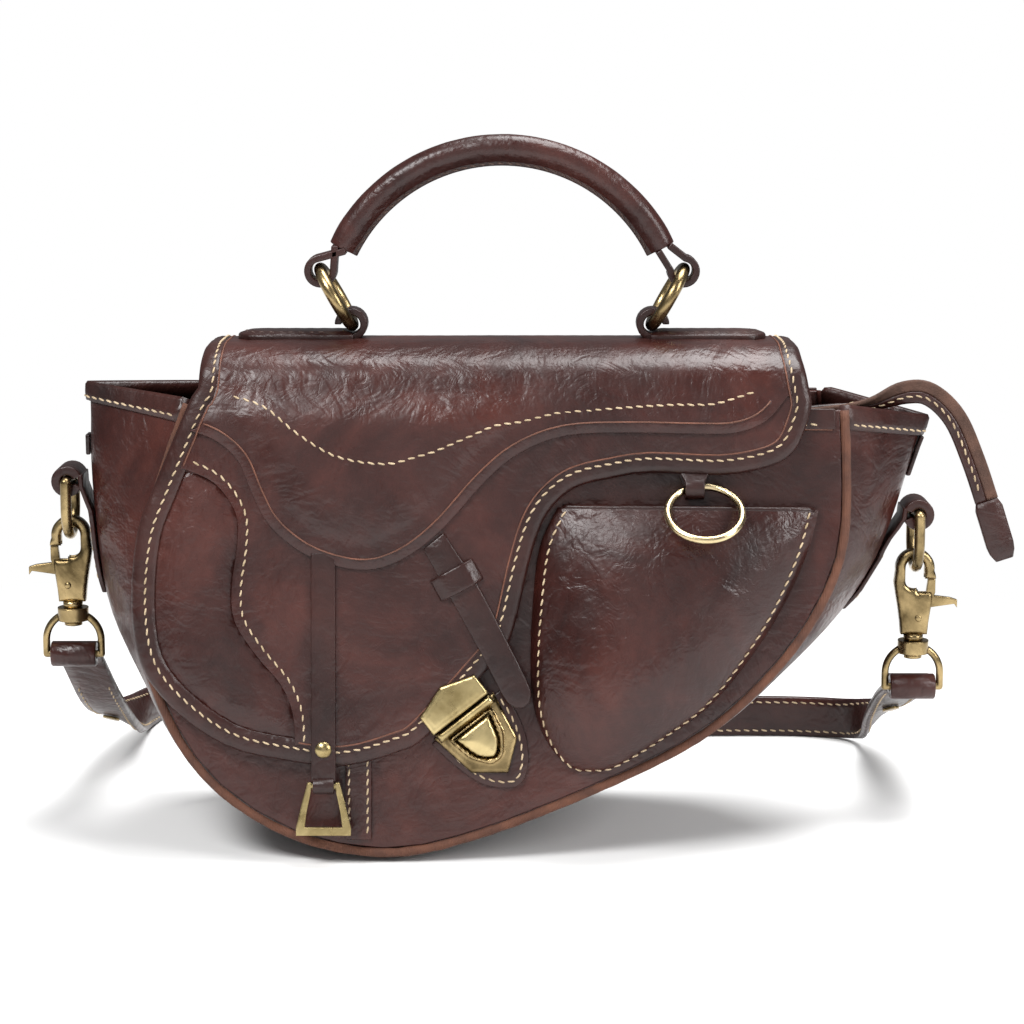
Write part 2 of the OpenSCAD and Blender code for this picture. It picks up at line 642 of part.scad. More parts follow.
// The arch runs through its crown and two end points inside the pivots
arch_end_share = 0.89;
arch_end_rise = 8;
neck_share = 0.86;
arch_x = upper_x * arch_end_share;
arch_sag = arch_rise - arch_end_rise;
arch_r = (pow(arch_x, 2) + pow(arch_sag, 2)) / (2 * arch_sag);
arch_z = upper_z + arch_rise - arch_r;
arch_half = asin(arch_x / arch_r);
// The core stops short of each end of the arch by this angle
core_short = 4;
core_half = arch_half - core_short;
fin_drop = 2.2;
fin_root = 2.2;
fin_t = 2.4;
module arch(half) {
    translate([0, 0, arch_z]) rotate([90, 0, 0]) rotate(90 - half)
        rotate_extrude(angle = 2 * half) children();
}
module handle_neck(side) {
    end_z = arch_z + sqrt(pow(arch_r, 2) - pow(arch_x, 2));
    reach = [upper_x - arch_x, end_z - upper_z];
    translate([side * upper_x, 0, upper_z]) {
        rotate([90, 0, 0]) cylinder(h = loop_w, r = loop_r, center = true);
        rotate([0, -side * atan2(reach[0], reach[1]), 0])
            cylinder(h = norm(reach) + overrun, d = handle_d * neck_share);
    }
}
module handle_core() {
    color(tape_brown) from_foot() arch(core_half) translate([arch_r, 0]) circle(d = core_d);
}
module handle_cover() {
    color(leather) from_foot() difference() {
        union() {
            arch(arch_half) translate([arch_r, 0]) circle(d = handle_d);
            arch(arch_half) translate([arch_r - handle_d / 2 - fin_drop, -fin_t / 2])
                square([fin_drop + fin_root, fin_t]);
            handle_neck(-1);
            handle_neck(1);
        }
        arch(core_half) translate([arch_r, 0]) circle(d = core_d + seam_gap);
        for (side = [-1, 1]) translate([side * upper_x, 0, upper_z]) rotate([90, 0, 0])
            cylinder(h = loop_w + overrun, r = loop_bore_r, center = true);
    }
}

// Side hardware

d_loop_z = [126.5, 114.5];
side_tab_low_z = [86, 80];
tab_play = 1.2;
side_tab_w = d_ring_w - tab_play;
side_tab_t = 1.6;
d_loop_wall = 3.3;
d_loop_r = d_wire / 2 + gap + d_loop_wall;
d_stand = 3;
d_drop = 19.7;
// Reach of the gusset's ridge from the middle at height z, on one side
ridge_table = [[for (i = [0 : floor(seam_n / 2)]) let (q = gusset_row(i, 0)[2]) [q[2], -q[0]]],
    [for (i = [floor(seam_n / 2) : seam_n - 1]) let (q = gusset_row(i, 0)[2]) [q[2], q[0]]]];
function side_of(s) = s == 0 ? -1 : 1;
function ridge_x(s, z) = lookup(z, ridge_table[s]);
function d_x(s) = side_of(s) * (ridge_x(s, d_loop_z[s]) + gap + d_loop_r + d_stand);
side_tab_steps = 6;
tab_point_share = 0.55;
function side_tab_rows(s, off) = [for (k = [0 : side_tab_steps]) let (
    z = side_tab_low_z[s] + (d_loop_z[s] - side_tab_low_z[s]) * k / side_tab_steps,
    top = k == side_tab_steps ? 1 : 0,
    half = side_tab_w / 2 * min(1, tab_point_share + (1 - tab_point_share) * k))
    [for (f = [1, -1]) [side_of(s) * (ridge_x(s, z) + gap + off + top * d_stand),
        side_of(s) * f * half, z + top * (off + overrun)]]];
module side_tab(s) {
    color(leather) from_foot() difference() {
        union() {
            shell_grid(side_tab_rows(s, side_tab_t), side_tab_rows(s, 0));
            translate([d_x(s), 0, d_loop_z[s]]) rotate([90, 0, 0])
                cylinder(h = side_tab_w, r = d_loop_r, center = true);
        }
        translate([d_x(s), 0, d_loop_z[s]]) rotate([90, 0, 0])
            cylinder(h = side_tab_w + overrun, r = d_wire / 2 + gap, center = true);
    }
}
module side_tab_left() { side_tab(0); }
module side_tab_right() { side_tab(1); }
d_leg_y = (d_ring_w + d_wire) / 2;
module d_ring(s) {
    color(brass) from_foot() translate([d_x(s), 0, d_loop_z[s]]) {
        rotate([90, 0, 0]) cylinder(h = 2 * d_leg_y, d = d_wire, center = true);
        for (f = [-1, 1]) translate([0, f * d_leg_y, 0]) {
            sphere(d = d_wire);
            translate([0, 0, d_leg_y - d_drop]) cylinder(h = d_drop - d_leg_y, d = d_wire);
        }
        translate([0, 0, d_leg_y - d_drop]) rotate([0, 90, 0]) rotate(-90)
            rotate_extrude(angle = 180) translate([d_leg_y, 0]) circle(d = d_wire);
    }
}
module d_ring_left() { d_ring(0); }
module d_ring_right() { d_ring(1); }

// Snap hook, from the D-ring wire down, x pointing outwards
hook_wall = 3;
d_sag = d_leg_y - sqrt(pow(d_leg_y, 2) - pow(hook_t / 2, 2));
hook_top = d_wire / 2 + gap + d_sag + link_play;
hole_r = 3.5;
hole_drop = 4.4;
// How far the eye widens, and its sides as shares of the widths they belong to
eye_drop = 4;
eye_trim = 0.6;
eye_side_share = 0.46;
waist_share = 0.42;
hook_body_z = -13;
hook_body_w = 11;
hook_low_z = -24.5;
trigger_pivot = [1.3, -18.5];
trigger_pin_d = 2.4;
trigger_t = 2;
shank_d = 4;
collar_z = [-31.5, -26.8];
collar_d = 11;
nub_d = 6.4;
nub_h = 1.8;
mouth_z = [-9.4, -4.2];
bar_z = -43.9;
run_gap = 0.08;
nose_groove = 1.6;
slot_reach = 2.8;
mouth_x = 1.1;
module at_hook(s) {
    translate([d_x(s), 0, d_loop_z[s] - d_drop]) mirror([s == 0 ? 1 : 0, 0, 0]) children();
}
// Children drawn in the x-z plane, centred on it
module slab(t) {
    rotate([90, 0, 0]) linear_extrude(t, center = true) children();
}
module hook_outline() {
    translate([0, hook_top - hole_r]) circle(r = hook_eye_w / 2 - eye_trim);
    translate([0, hook_top - hole_r - eye_drop]) circle(r = hook_eye_w / 2);
    polygon([[-hook_eye_w * eye_side_share, hook_body_z + hook_wall],
        [-hook_body_w / 2, hook_body_z - hook_wall], [-hook_body_w * waist_share, hook_low_z],
        [hook_body_w * waist_share, hook_low_z], [hook_body_w / 2, hook_body_z - hook_wall],
        [hook_eye_w * eye_side_share, hook_body_z + hook_wall]]);
}
module hook(s) {
    color(brass) from_foot() at_hook(s) {
        difference() {
            slab(hook_t) difference() {
                hook_outline();
                translate([0, hook_top - hole_r]) circle(r = hole_r);
                translate([0, hook_top - hole_r - hole_drop]) circle(r = hole_r);
                translate([-hole_r, hook_top - hole_r - hole_drop])
                    square([2 * hole_r, hole_drop]);
            }
            // Slot for the trigger, open to the outside of the eye
            translate([-slot_reach, -trigger_t / 2 - gap, hook_low_z + hook_wall])
                cube([hook_eye_w, trigger_t + 2 * gap,
                mouth_z[1] + nose_groove - hook_low_z - hook_wall]);
            translate([mouth_x, -hook_t, mouth_z[0]])
                cube([hook_eye_w, 2 * hook_t, mouth_z[1] - mouth_z[0]]);
        }
        translate([trigger_pivot[0], 0, trigger_pivot[1]]) rotate([90, 0, 0])
            cylinder(h = hook_t + 2 * gap, d = trigger_pin_d, center = true);
        translate([0, 0, collar_z[0] - gap]) cylinder(h = hook_low_z - collar_z[0] + gap + overrun,
            d = shank_d);
        translate([0, 0, collar_z[1] + run_gap])
            cylinder(h = hook_low_z - collar_z[1], d = shank_d + hook_wall);
        translate([0, 0, collar_z[0] - gap - nub_h]) cylinder(h = nub_h, d = nub_d);
    }
}
module hook_left() { hook(0); }
module hook_right() { hook(1); }
// The trigger from its pivot: the gate's arm, then the thumb lever that stands out of it
trigger_hub_d = 5.7;
gate_x = 6.1;
gate_foot = [2.9, -0.9];
gate_arm_w = 2.6;
lever_reach = 14;
lever_shares = [[0.25, 0.257], [0.929, 0.357], [1, 0.257], [1, 0.457], [0.829, 0.514],
    [0.393, 0.571]];
module trigger(s) {
    mouth = [for (z = mouth_z) z - trigger_pivot[1]];
    color(brass) from_foot() at_hook(s) translate([trigger_pivot[0], 0, trigger_pivot[1]])
        difference() {
        slab(trigger_t) {
            circle(d = trigger_hub_d);
            polygon([[gate_foot[1], 0], [gate_foot[0] - overrun / 2, -overrun],
                [gate_x, mouth[0]], [gate_x, mouth[1] - gap],
                [gate_x - gate_arm_w, mouth[1] - gap], [gate_foot[0], mouth[0]]]);
            polygon(scaled(lever_shares, lever_reach, lever_reach));
        }
        rotate([90, 0, 0]) cylinder(h = hook_t, d = trigger_pin_d + 2 * run_gap, center = true);
    }
}
module trigger_left() { trigger(0); }
module trigger_right() { trigger(1); }
swivel_wire = 2.6;
strap_play = 1;
swivel_x = (strap_w + strap_play + swivel_wire) / 2;
swivel_leg = 5.2;
swivel_bow_z = bar_z + swivel_leg;
module swivel(s) {
    color(brass) from_foot() at_hook(s) {
        difference() {
            union() {
                translate([0, 0, collar_z[0]]) cylinder(h = collar_z[1] - collar_z[0], d = collar_d);
                translate([0, 0, swivel_bow_z]) rotate([90, 0, 0]) rotate_extrude(angle = 180)
                    translate([swivel_x, 0]) circle(d = swivel_wire);
            }
            translate([0, 0, collar_z[0] - swivel_wire]) cylinder(
                h = collar_z[1] - collar_z[0] + 2 * swivel_wire, d = shank_d + 2 * run_gap);
        }
        for (f = [-1, 1]) translate([f * swivel_x, 0, bar_z]) {
            cylinder(h = swivel_bow_z - bar_z, d = swivel_wire);
            sphere(d = swivel_wire);
        }
        translate([0, 0, bar_z]) rotate([0, 90, 0])
            cylinder(h = 2 * swivel_x, d = swivel_wire, center = true);
    }
}
module swivel_left() { swivel(0); }
module swivel_right() { swivel(1); }

// Shoulder strap, from the right roll round behind the body to the left roll.
// Columns: share of the spread, share of the reach, share of the roll's height, turn
strap_spread = 148;
strap_reach = 198;
roll_r = swivel_wire / 2 + gap + strap_t;
function roll_x(s) = d_x(s);
function roll_z(s) = d_loop_z[s] - d_drop + bar_z;
strap_shares = [[1, 0.2, 0.78, 0], [1, 0.38, 0.5, 20], [0.99, 0.53, 0.28, 62],
    [0.95, 0.625, 0.18, 90], [0.86, 0.662, 0.16, 90], [0.71, 0.672, 0.16, 90],
    [0.4, 0.667, 0.16, 90], [0, 0.672, 0.16, 90], [-0.35, 0.677, 0.16, 90],
    [-0.52, 0.69, 0.16, 90], [-0.6, 0.76, 0.16, 90], [-0.52, 0.828, 0.16, 90],
    [-0.35, 0.838, 0.16, 90], [0, 0.838, 0.16, 90], [0.3, 0.846, 0.16, 90],
    [0.4, 0.922, 0.16, 90], [0.3, 1, 0.16, 90], [0, 1, 0.16, 90], [-0.4, 1, 0.16, 90],
    [-0.74, 0.98, 0.16, 90], [-0.92, 0.9, 0.16, 90], [-0.985, 0.76, 0.165, 88],
    [-1.005, 0.6, 0.24, 60], [-1.013, 0.4, 0.42, 20], [-1.015, 0.2, 0.74, 0]];
// Share of the roll height at which the strap standing on edge meets the floor
edge_share = 0.16;
strap_floor = strap_w / 2 / edge_share;
// Where the strap leaves each roll, back from the bar and up from the roll's foot
roll_out = [12.8, 1.2];
strap_path = curve(concat(
    [[roll_x(1), 0, roll_z(1) - roll_r + strap_t / 2, 0],
     [roll_x(1), roll_out[0], roll_z(1) - roll_r + roll_out[1], 0]],
    [for (q = strap_shares) [q[0] * strap_spread, q[1] * strap_reach,
        q[2] * strap_floor + seam_gap, q[3]]],
    [[roll_x(0), roll_out[0], roll_z(0) - roll_r + roll_out[1], 0],
     [roll_x(0), 0, roll_z(0) - roll_r + strap_t / 2, 0]]), 3);
// Frame of a strip at point i: width and thickness directions
function xyz(q) = [q[0], q[1], q[2]];
function strip_frame(path, i) = let (
    d = xyz(path[min(i + 1, len(path) - 1)]) - xyz(path[max(i - 1, 0)]), t = d / norm(d),
    h0 = cross(t, [0, 0, 1]), h = h0 / norm(h0), up = cross(h, t),
    w = h * cos(path[i][3]) + up * sin(path[i][3])) [w, cross(t, w), t];
function strip_rows(path, w, t, face) = [for (i = [0 : len(path) - 1])
    let (f = strip_frame(path, i)) [for (k = [-1, 1])
        xyz(path[i]) + f[0] * k * w / 2 + f[1] * face * t / 2]];
module strip(path, w, t) {
    shell_grid(strip_rows(path, w, t, 1), strip_rows(path, w, t, -1));
}
// The strap's end folded forward over the swivel bar, as a path seen from the side
roll_mid = roll_r - strap_t / 2;
fold_y = 14;
roll_turns = [50 : 20 : 250];
fold_path = concat([[fold_y, strap_t + gap - roll_mid], [fold_y / 2, strap_t + 2 * gap - roll_mid]],
    [for (a = roll_turns) roll_mid * [cos(a), sin(a)]], [[0, -roll_mid]]);
fold_last = len(fold_path) - 1;
function fold_rows(s, face) = [for (i = [0 : fold_last - 1]) let (
    q = inset(fold_path, -face * strap_t / 2)[i], f = s == 0 ? -1 : 1)
    [for (k = [-1, 1]) [roll_x(s) + f * k * strap_w / 2, q[0], roll_z(s) + q[1]]]];
function strap_rows(face) = concat(fold_rows(1, face),
    strip_rows(strap_path, strap_w, strap_t, face), reversed(fold_rows(0, face)));
module shoulder_strap() {
    color(leather) from_foot() shell_grid(strap_rows(1), strap_rows(-1));
}
strap_rivet_d = 6.5;
strap_rivet_h = 1;
rivet_stand = 0.35;
strap_rivet_share = 0.1;
strap_rivet_at = [for (s = [strap_rivet_share, 1 - strap_rivet_share])
    round(s * (len(strap_path) - 1))];
module strap_rivets() {
    color(brass) from_foot() for (i = strap_rivet_at) let (f = strip_frame(strap_path, i))
        multmatrix([for (k = [0 : 2]) [f[0][k], f[2][k], f[1][k], strap_path[i][k]]])
        for (face = [-1, 1]) mirror([0, 0, face > 0 ? 0 : 1])
            translate([0, 0, strap_t / 2 + rivet_stand])
            cylinder(h = strap_rivet_h, d = strap_rivet_d);
}

// Zip across the mouth

zip_z = 148;
zip_half = 100;
zip_tape_t = 0.8;
chain_w = 2.3;
chain_h = 2;
chain_gap = 1.1;
divider_size = [3.6, 0.5];
zip_tape_y = -front_y(zip_z / cos(panel_lean), -panel_t) - seam_gap;
module zip_tape(side) {
    color(tape_brown) from_foot() {
        translate([-zip_half, side > 0 ? chain_gap / 2 : -zip_tape_y, zip_z])
            cube([2 * zip_half, zip_tape_y - chain_gap / 2, zip_tape_t]);
        translate([-zip_half, side > 0 ? chain_gap / 2 : -chain_gap / 2 - chain_w,
            zip_z + zip_tape_t / 2 - chain_h / 2]) cube([2 * zip_half, chain_w, chain_h]);
    }
}
module zip_tape_front() { zip_tape(-1); }
module zip_tape_back() { zip_tape(1); }
slider_len = 12;
slider_w = 9;
slider_h = 5;
slider_x = -zip_half + slider_len;
bail_d = 1.6;
bail_foot = 2.6;
bail_rise = 1.4;
bail_z = zip_z + zip_tape_t / 2 + slider_h / 2 + bail_d / 2 + bail_rise;
module zip_slider() {
    color(brass) from_foot() translate([slider_x, 0, zip_z + zip_tape_t / 2]) {
        difference() {
            union() {
                cube([slider_len, slider_w, slider_h], center = true);
                for (f = [-1, 1]) translate([0, f * (slider_w / 2 - bail_d / 2), slider_h / 2])
                    cube([bail_foot, bail_d, bail_d + 2 * bail_rise], center = true);
                translate([0, 0, slider_h / 2 + bail_d / 2 + bail_rise]) rotate([90, 0, 0])
                    cylinder(h = slider_w - bail_d, d = bail_d, center = true);
            }
            cube([2 * slider_len, 2 * chain_w + chain_gap + gap, chain_h + gap], center = true);
            cube([2 * slider_len, 2 * slider_w, zip_tape_t + gap], center = true);
        }
        cube([divider_size[0], divider_size[1], slider_h], center = true);
    }
}
pull_len = 17;
pull_w = 4.6;
pull_t = 1.4;
pull_wall = 1;
module zip_pull() {
    color(brass) from_foot() translate([slider_x, 0, bail_z]) difference() {
        union() {
            rotate([90, 0, 0]) cylinder(h = pull_w, r = bail_d / 2 + run_gap + pull_wall, center = true);
            translate([bail_d, -pull_w / 2, -pull_t / 2]) cube([pull_len, pull_w, pull_t]);
        }
        rotate([90, 0, 0]) cylinder(h = 2 * pull_w, d = bail_d + 2 * run_gap, center = true);
    }
}
tail_w = 9;
tail_t = 2.2;
tail_top_z = 155;
tail_shares = [[0.78, 0.98, 0], [0.87, 0.99, 40], [0.95, 1.015, 90],
    [1.01, 1.01, 90], [1.07, 0.955, 90], [1.115, 0.86, 90], [1.15, 0.765, 90]];
tail_path = curve(concat([[zip_half + gap, 0, zip_z + tail_t, 0]], [for (q = tail_shares)
    [q[0] * body_w / 2, 0, q[1] * tail_top_z, q[2]]]), 3);
module zip_tail() {
    color(tape_brown) from_foot() strip(tail_path, tail_w, tail_t);
}
tail_tab_len = 24;
tail_tab_size = [12, 3];
tail_tab_turn = 18;
module zip_tail_tab() {
    color(leather_dark) from_foot() translate(xyz(tail_path[len(tail_path) - 1]))
        rotate([0, -tail_tab_turn, 0]) translate([-tail_tab_size[0] / 2, -tail_tab_size[1] / 2,
            -tail_tab_len - seam_gap]) cube([tail_tab_size[0], tail_tab_size[1], tail_tab_len]);
}
corner_tab_z = [[140, 151], [128, 142]];
corner_tab_w = 7;
corner_tab_t = 1.6;
function corner_rows(s, off) = [for (z = corner_tab_z[s]) [for (f = [1, -1])
    [side_of(s) * (ridge_x(s, z) + gap + off), side_of(s) * f * corner_tab_w / 2, z]]];
module corner_tabs() {
    color(leather_dark) from_foot() for (s = [0, 1])
        shell_grid(corner_rows(s, corner_tab_t), corner_rows(s, 0));
}

front_panel();
back_panel();
gusset();
front_welt();
back_welt();
mouth_binding_front();
mouth_binding_back();
mouth_binding_left();
mouth_binding_right();
seam_strip();
patch_pocket();
flap_anchor();
flap();
flap_binding();
flap_centre_panel();
flap_seat();
stirrup_strap();
stirrup_rivet();
stirrup();
billet_strap();
billet_keeper();
lock_top_plate();
lock_body();
lock_button();
lock_backing();
key_ring_loop();
key_ring();
handle_tab_left();
handle_tab_right();
handle_ring_left();
handle_ring_right();
handle_core();
handle_cover();
side_tab_left();
side_tab_right();
d_ring_left();
d_ring_right();
hook_left();
hook_right();
trigger_left();
trigger_right();
swivel_left();
swivel_right();
shoulder_strap();
strap_rivets();
zip_tape_front();
zip_tape_back();
zip_slider();
zip_pull();
zip_tail();
zip_tail_tab();
corner_tabs();
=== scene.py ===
import bisect
import bpy
import math
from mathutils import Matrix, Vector, noise
from mathutils.geometry import delaunay_2d_cdt


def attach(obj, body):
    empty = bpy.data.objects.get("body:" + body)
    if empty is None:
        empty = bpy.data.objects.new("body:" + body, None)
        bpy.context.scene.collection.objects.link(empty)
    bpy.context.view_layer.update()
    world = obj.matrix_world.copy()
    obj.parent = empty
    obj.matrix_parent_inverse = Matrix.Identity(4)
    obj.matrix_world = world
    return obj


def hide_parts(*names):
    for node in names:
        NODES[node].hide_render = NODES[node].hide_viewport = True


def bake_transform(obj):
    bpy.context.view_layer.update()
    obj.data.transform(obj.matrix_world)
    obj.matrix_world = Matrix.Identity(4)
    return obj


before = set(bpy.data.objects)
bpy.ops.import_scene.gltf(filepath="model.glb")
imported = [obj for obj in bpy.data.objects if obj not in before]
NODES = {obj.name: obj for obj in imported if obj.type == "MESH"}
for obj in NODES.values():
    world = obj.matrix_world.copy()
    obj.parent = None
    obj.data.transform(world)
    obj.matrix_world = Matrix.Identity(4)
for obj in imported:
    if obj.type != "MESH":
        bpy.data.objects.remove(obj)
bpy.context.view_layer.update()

# Main sizes in millimetres, as in the part's source
BODY_W, BODY_H, DEPTH, LEAN = 300, 160, 100, math.radians(7.5)
FOOT_X = 0.137 * BODY_W
PANEL_T, GUSSET_T, SWELL = 2.2, 2.0, 6.0
WING_LEFT, WING_RIGHT, DROP = 37, 29, 10
# The soft left wing hangs lower than the rigid node, which stands level with the mouth
LEFT_SAG = 13.0
WELT_R, GAP, SEAM_GAP = 1.6, 0.3, 0.15
FLAP_W, FLAP_DROP, FLAP_TOP, FLAP_T = 234, 144, 176, 2.0
FLAP_GAP, BIND_W, BIND_T, CENTRE_T, SEAT_T = 2.0, 8.2, 1.0, 1.4, 2.6
SOFT_EDGE, CREASE_R, SEW_IN = 0.5, 0.3, 2.1
FLAP_V = FLAP_TOP + FLAP_T
CORE_W = FLAP_GAP + BIND_T
CENTRE_W = CORE_W + FLAP_T
SEAT_W = CENTRE_W + CENTRE_T
CORE_MID = CORE_W + FLAP_T / 2
HALF_BASE = DEPTH / 2


# Curves
def spline_at(a, b, c, d, t):
    return tuple((2 * q + (r - p) * t + (2 * p - 5 * q + 4 * r - s) * t * t
                  + (3 * q - p - 3 * r + s) * t ** 3) / 2 for p, q, r, s in zip(a, b, c, d))


def curve(p, n):
    last = len(p) - 1
    out = [spline_at(p[max(i - 1, 0)], p[i], p[i + 1], p[min(i + 2, last)], k / n)
           for i in range(last) for k in range(n)]
    return out + [tuple(p[last])]


def left_of(p, i):
    a, b = p[max(i - 1, 0)], p[min(i + 1, len(p) - 1)]
    dx, dy = b[0] - a[0], b[1] - a[1]
    n = math.hypot(dx, dy) or 1
    return (-dy / n, dx / n)


def inset(p, d):
    return [(p[i][0] + left_of(p, i)[0] * d, p[i][1] + left_of(p, i)[1] * d)
            for i in range(len(p))]


def between(a, b, f):
    return Vector(a).lerp(Vector(b), f)


def lengths(points):
    """The way along a polyline to each of its points."""
    out = [0.0]
    for a, b in zip(points, points[1:]):
        out.append(out[-1] + (Vector(b) - Vector(a)).length)
    return out


def locate(s, t):
    """The stretch of a polyline that the way t ends in, and its share that is passed."""
    k = min(bisect.bisect_left(s, t, 1) - 1, len(s) - 2)
    return k, min(1, (t - s[k]) / ((s[k + 1] - s[k]) or 1))


def resample(p, step):
    """The polyline p with points every step, at its own ends too."""
    s = lengths(p)
    n = max(1, round(s[-1] / step))
    spots = [locate(s, s[-1] * i / n) for i in range(n + 1)]
    return [tuple(between(p[k], p[k + 1], f)) for k, f in spots]


def sides_of(loop):
    return zip(loop, loop[1:] + loop[:1])


def fine_loop(loop, step):
    """The closed outline with points every step along each of its sides."""
    return [q for a, b in sides_of(loop) for q in resample([a, b], step)[:-1]]


def even_loop(loop, step):
    """The closed loop walked in even steps, which round its corners off a little."""
    return resample(loop + loop[:1], step)[:-1]


def arc(cx, cy, r, a0, a1, n):
    """Points on a circle from the angle a0 to a1, in degrees."""
    turns = [math.radians(a0 + (a1 - a0) * k / n) for k in range(n + 1)]
    return [(cx + r * math.cos(a), cy + r * math.sin(a)) for a in turns]


def circle(r, n):
    """The n corners of a ring round the origin."""
    return arc(0, 0, r, 0, 360 - 360 / n, n - 1)


def smooth(a, b, x):
    """A soft rise from 0 at a to 1 at b."""
    t = min(1, max(0, (x - a) / (b - a)))
    return t * t * (3 - 2 * t)


# Places
def front_y(v, w):
    return -HALF_BASE + v * math.sin(LEAN) - w * math.cos(LEAN)


def front_z(v, w):
    return v * math.cos(LEAN) + w * math.sin(LEAN)


def on_front(u, v, w):
    return (u, front_y(v, w), front_z(v, w))


def on_back(u, v, w):
    return (u, -front_y(v, w), front_z(v, w))


def on_flap(shares):
    return [(a * FLAP_W, FLAP_V - b * FLAP_DROP) for a, b in shares]


FACES = (("front", on_front), ("back", on_back))
SIDES = ((0, -1, "left"), (1, 1, "right"))

# Side view of the flap's middle surface, from the front flat over the top to the back
HINGE_V, HINGE_W, ANCHOR_V = 149, 2.8, 112
HINGE = (-front_y(HINGE_V, HINGE_W), front_z(HINGE_V, HINGE_W))
RUN_OUT = [(front_y(v, CORE_MID), front_z(v, CORE_MID))
           for v in (FLAP_V - FLAP_DROP * s for s in (0.078, 0.095, 0.16))]
BEND_TOP = FLAP_TOP - FLAP_T / 2 - HINGE[1]
BEND = [(HINGE[0] * a, BEND_TOP * b + HINGE[1]) for a, b in (
    (1, 0), (0.98, 0.37), (0.88, 0.74), (0.5, 0.96), (0, 1), (-0.54, 0.985), (-0.86, 0.82))]
BEND = curve(BEND + [RUN_OUT[0]], 5) + RUN_OUT[1:]
BEND.reverse()
ANCHOR = [(-front_y(v, FLAP_T / 2), front_z(v, FLAP_T / 2)) for v in (140, 126, ANCHOR_V)]
FLAP_LINE = resample(BEND + ANCHOR, 2)
FLAP_LINE_S = lengths(FLAP_LINE)
FLAT_V = FLAP_V - FLAP_DROP * 0.16
HINGE_S = lengths(BEND)[-1]


def over_flap(u, v, w):
    """Point of the flap at height v along its surface, which runs on over the top."""
    s = v - FLAT_V
    if s <= 0:
        return on_front(u, v, w)
    k, f = locate(FLAP_LINE_S, s)
    n = between(left_of(FLAP_LINE, k), left_of(FLAP_LINE, k + 1), f).normalized()
    return (u, *(between(FLAP_LINE[k], FLAP_LINE[k + 1], f) + n * (w - CORE_MID)))


# Materials
def node_tree(name):
    m = bpy.data.materials.new(name)
    m.use_nodes = True
    return m, m.node_tree, m.node_tree.nodes["Principled BSDF"]


def feed(nt, node, *values, **sets):
    """Sets or links a node's inputs, by place or by name, where _ stands for a space."""
    pairs = [(node.inputs[i], v) for i, v in enumerate(values)]
    for name, v in sets.items():
        spaced = name.replace("_", " ")
        if spaced in node.inputs:
            pairs.append((node.inputs[spaced], v))
        else:
            setattr(node, name, v)
    for socket, v in pairs:
        if isinstance(v, bpy.types.NodeSocket):
            nt.links.new(v, socket)
        else:
            socket.default_value = v


def add(nt, kind, *values, **sets):
    node = nt.nodes.new(kind)
    feed(nt, node, *values, **sets)
    return node


def coords(nt):
    node = nt.nodes.get("Coords") or add(nt, "ShaderNodeTexCoord", name="Coords")
    return node.outputs["Object"]


def ramp(nt, source, stops):
    node = add(nt, "ShaderNodeValToRGB", Fac=source)
    e = node.color_ramp.elements
    e[0].position, e[0].color = stops[0][0], (*stops[0][1], 1)
    e[1].position, e[1].color = stops[-1][0], (*stops[-1][1], 1)
    for place, colour in stops[1:-1]:
        e.new(place).color = (*colour, 1)
    return node.outputs["Color"]


def grey(nt, source, values, stops=(0.3, 0.7)):
    return ramp(nt, source, [(s, (v,) * 3) for s, v in zip(stops, values)])


def noise_of(nt, scale, detail=4.0, rough=0.55, distort=0.0):
    return add(nt, "ShaderNodeTexNoise", Scale=scale, Detail=detail, Roughness=rough,
               Distortion=distort, Vector=coords(nt)).outputs["Fac"]


def cells(nt, scale):
    return add(nt, "ShaderNodeTexVoronoi", Scale=scale, Vector=coords(nt)).outputs["Distance"]


def folds(nt, scale, distort):
    """Creases in a network of fine lines, where the noise passes its middle value."""
    off = add(nt, "ShaderNodeMath", noise_of(nt, scale, 3, 0.55, distort), 0.5,
              operation="SUBTRACT")
    ridge = add(nt, "ShaderNodeMath", off.outputs[0], operation="ABSOLUTE")
    return add(nt, "ShaderNodeMapRange", interpolation_type="SMOOTHSTEP", From_Max=0.09,
               Value=ridge.outputs[0]).outputs["Result"]


def bumps(nt, bsdf, layers, last=None):
    """Bumps one over another; each layer is a source, its strength and height in metres."""
    for source, strength, distance in layers:
        bump = add(nt, "ShaderNodeBump", Strength=strength, Distance=distance, Height=source)
        if last:
            feed(nt, bump, Normal=last)
        last = bump.outputs["Normal"]
    feed(nt, bsdf, Normal=last)


def leather(name, dark, mid, light, rough, creases=0.5):
    m, nt, bsdf = node_tree(name)
    cloud = ramp(nt, noise_of(nt, 22, 6, 0.62, 0.6), [(0.3, dark), (0.5, mid), (0.72, light)])
    grain = ramp(nt, noise_of(nt, 260, 3), [(0.3, (0.55, 0.5, 0.48)), (0.7, (1, 1, 1))])
    colour = add(nt, "ShaderNodeMixRGB", blend_type="MULTIPLY", Fac=0.35, Color1=cloud,
                 Color2=grain)
    feed(nt, bsdf, Base_Color=colour.outputs["Color"], Specular_IOR_Level=0.38,
         Roughness=grey(nt, noise_of(nt, 48, 5), rough))
    bumps(nt, bsdf, [(noise_of(nt, 16, 5, 0.6, 1.2), creases, 0.004),
                     (folds(nt, 38, 1.4), 0.3 * creases, 0.0008),
                     (folds(nt, 150, 0.9), 0.26 * creases, 0.00035),
                     (cells(nt, 900), 0.12, 0.0002)])
    return m


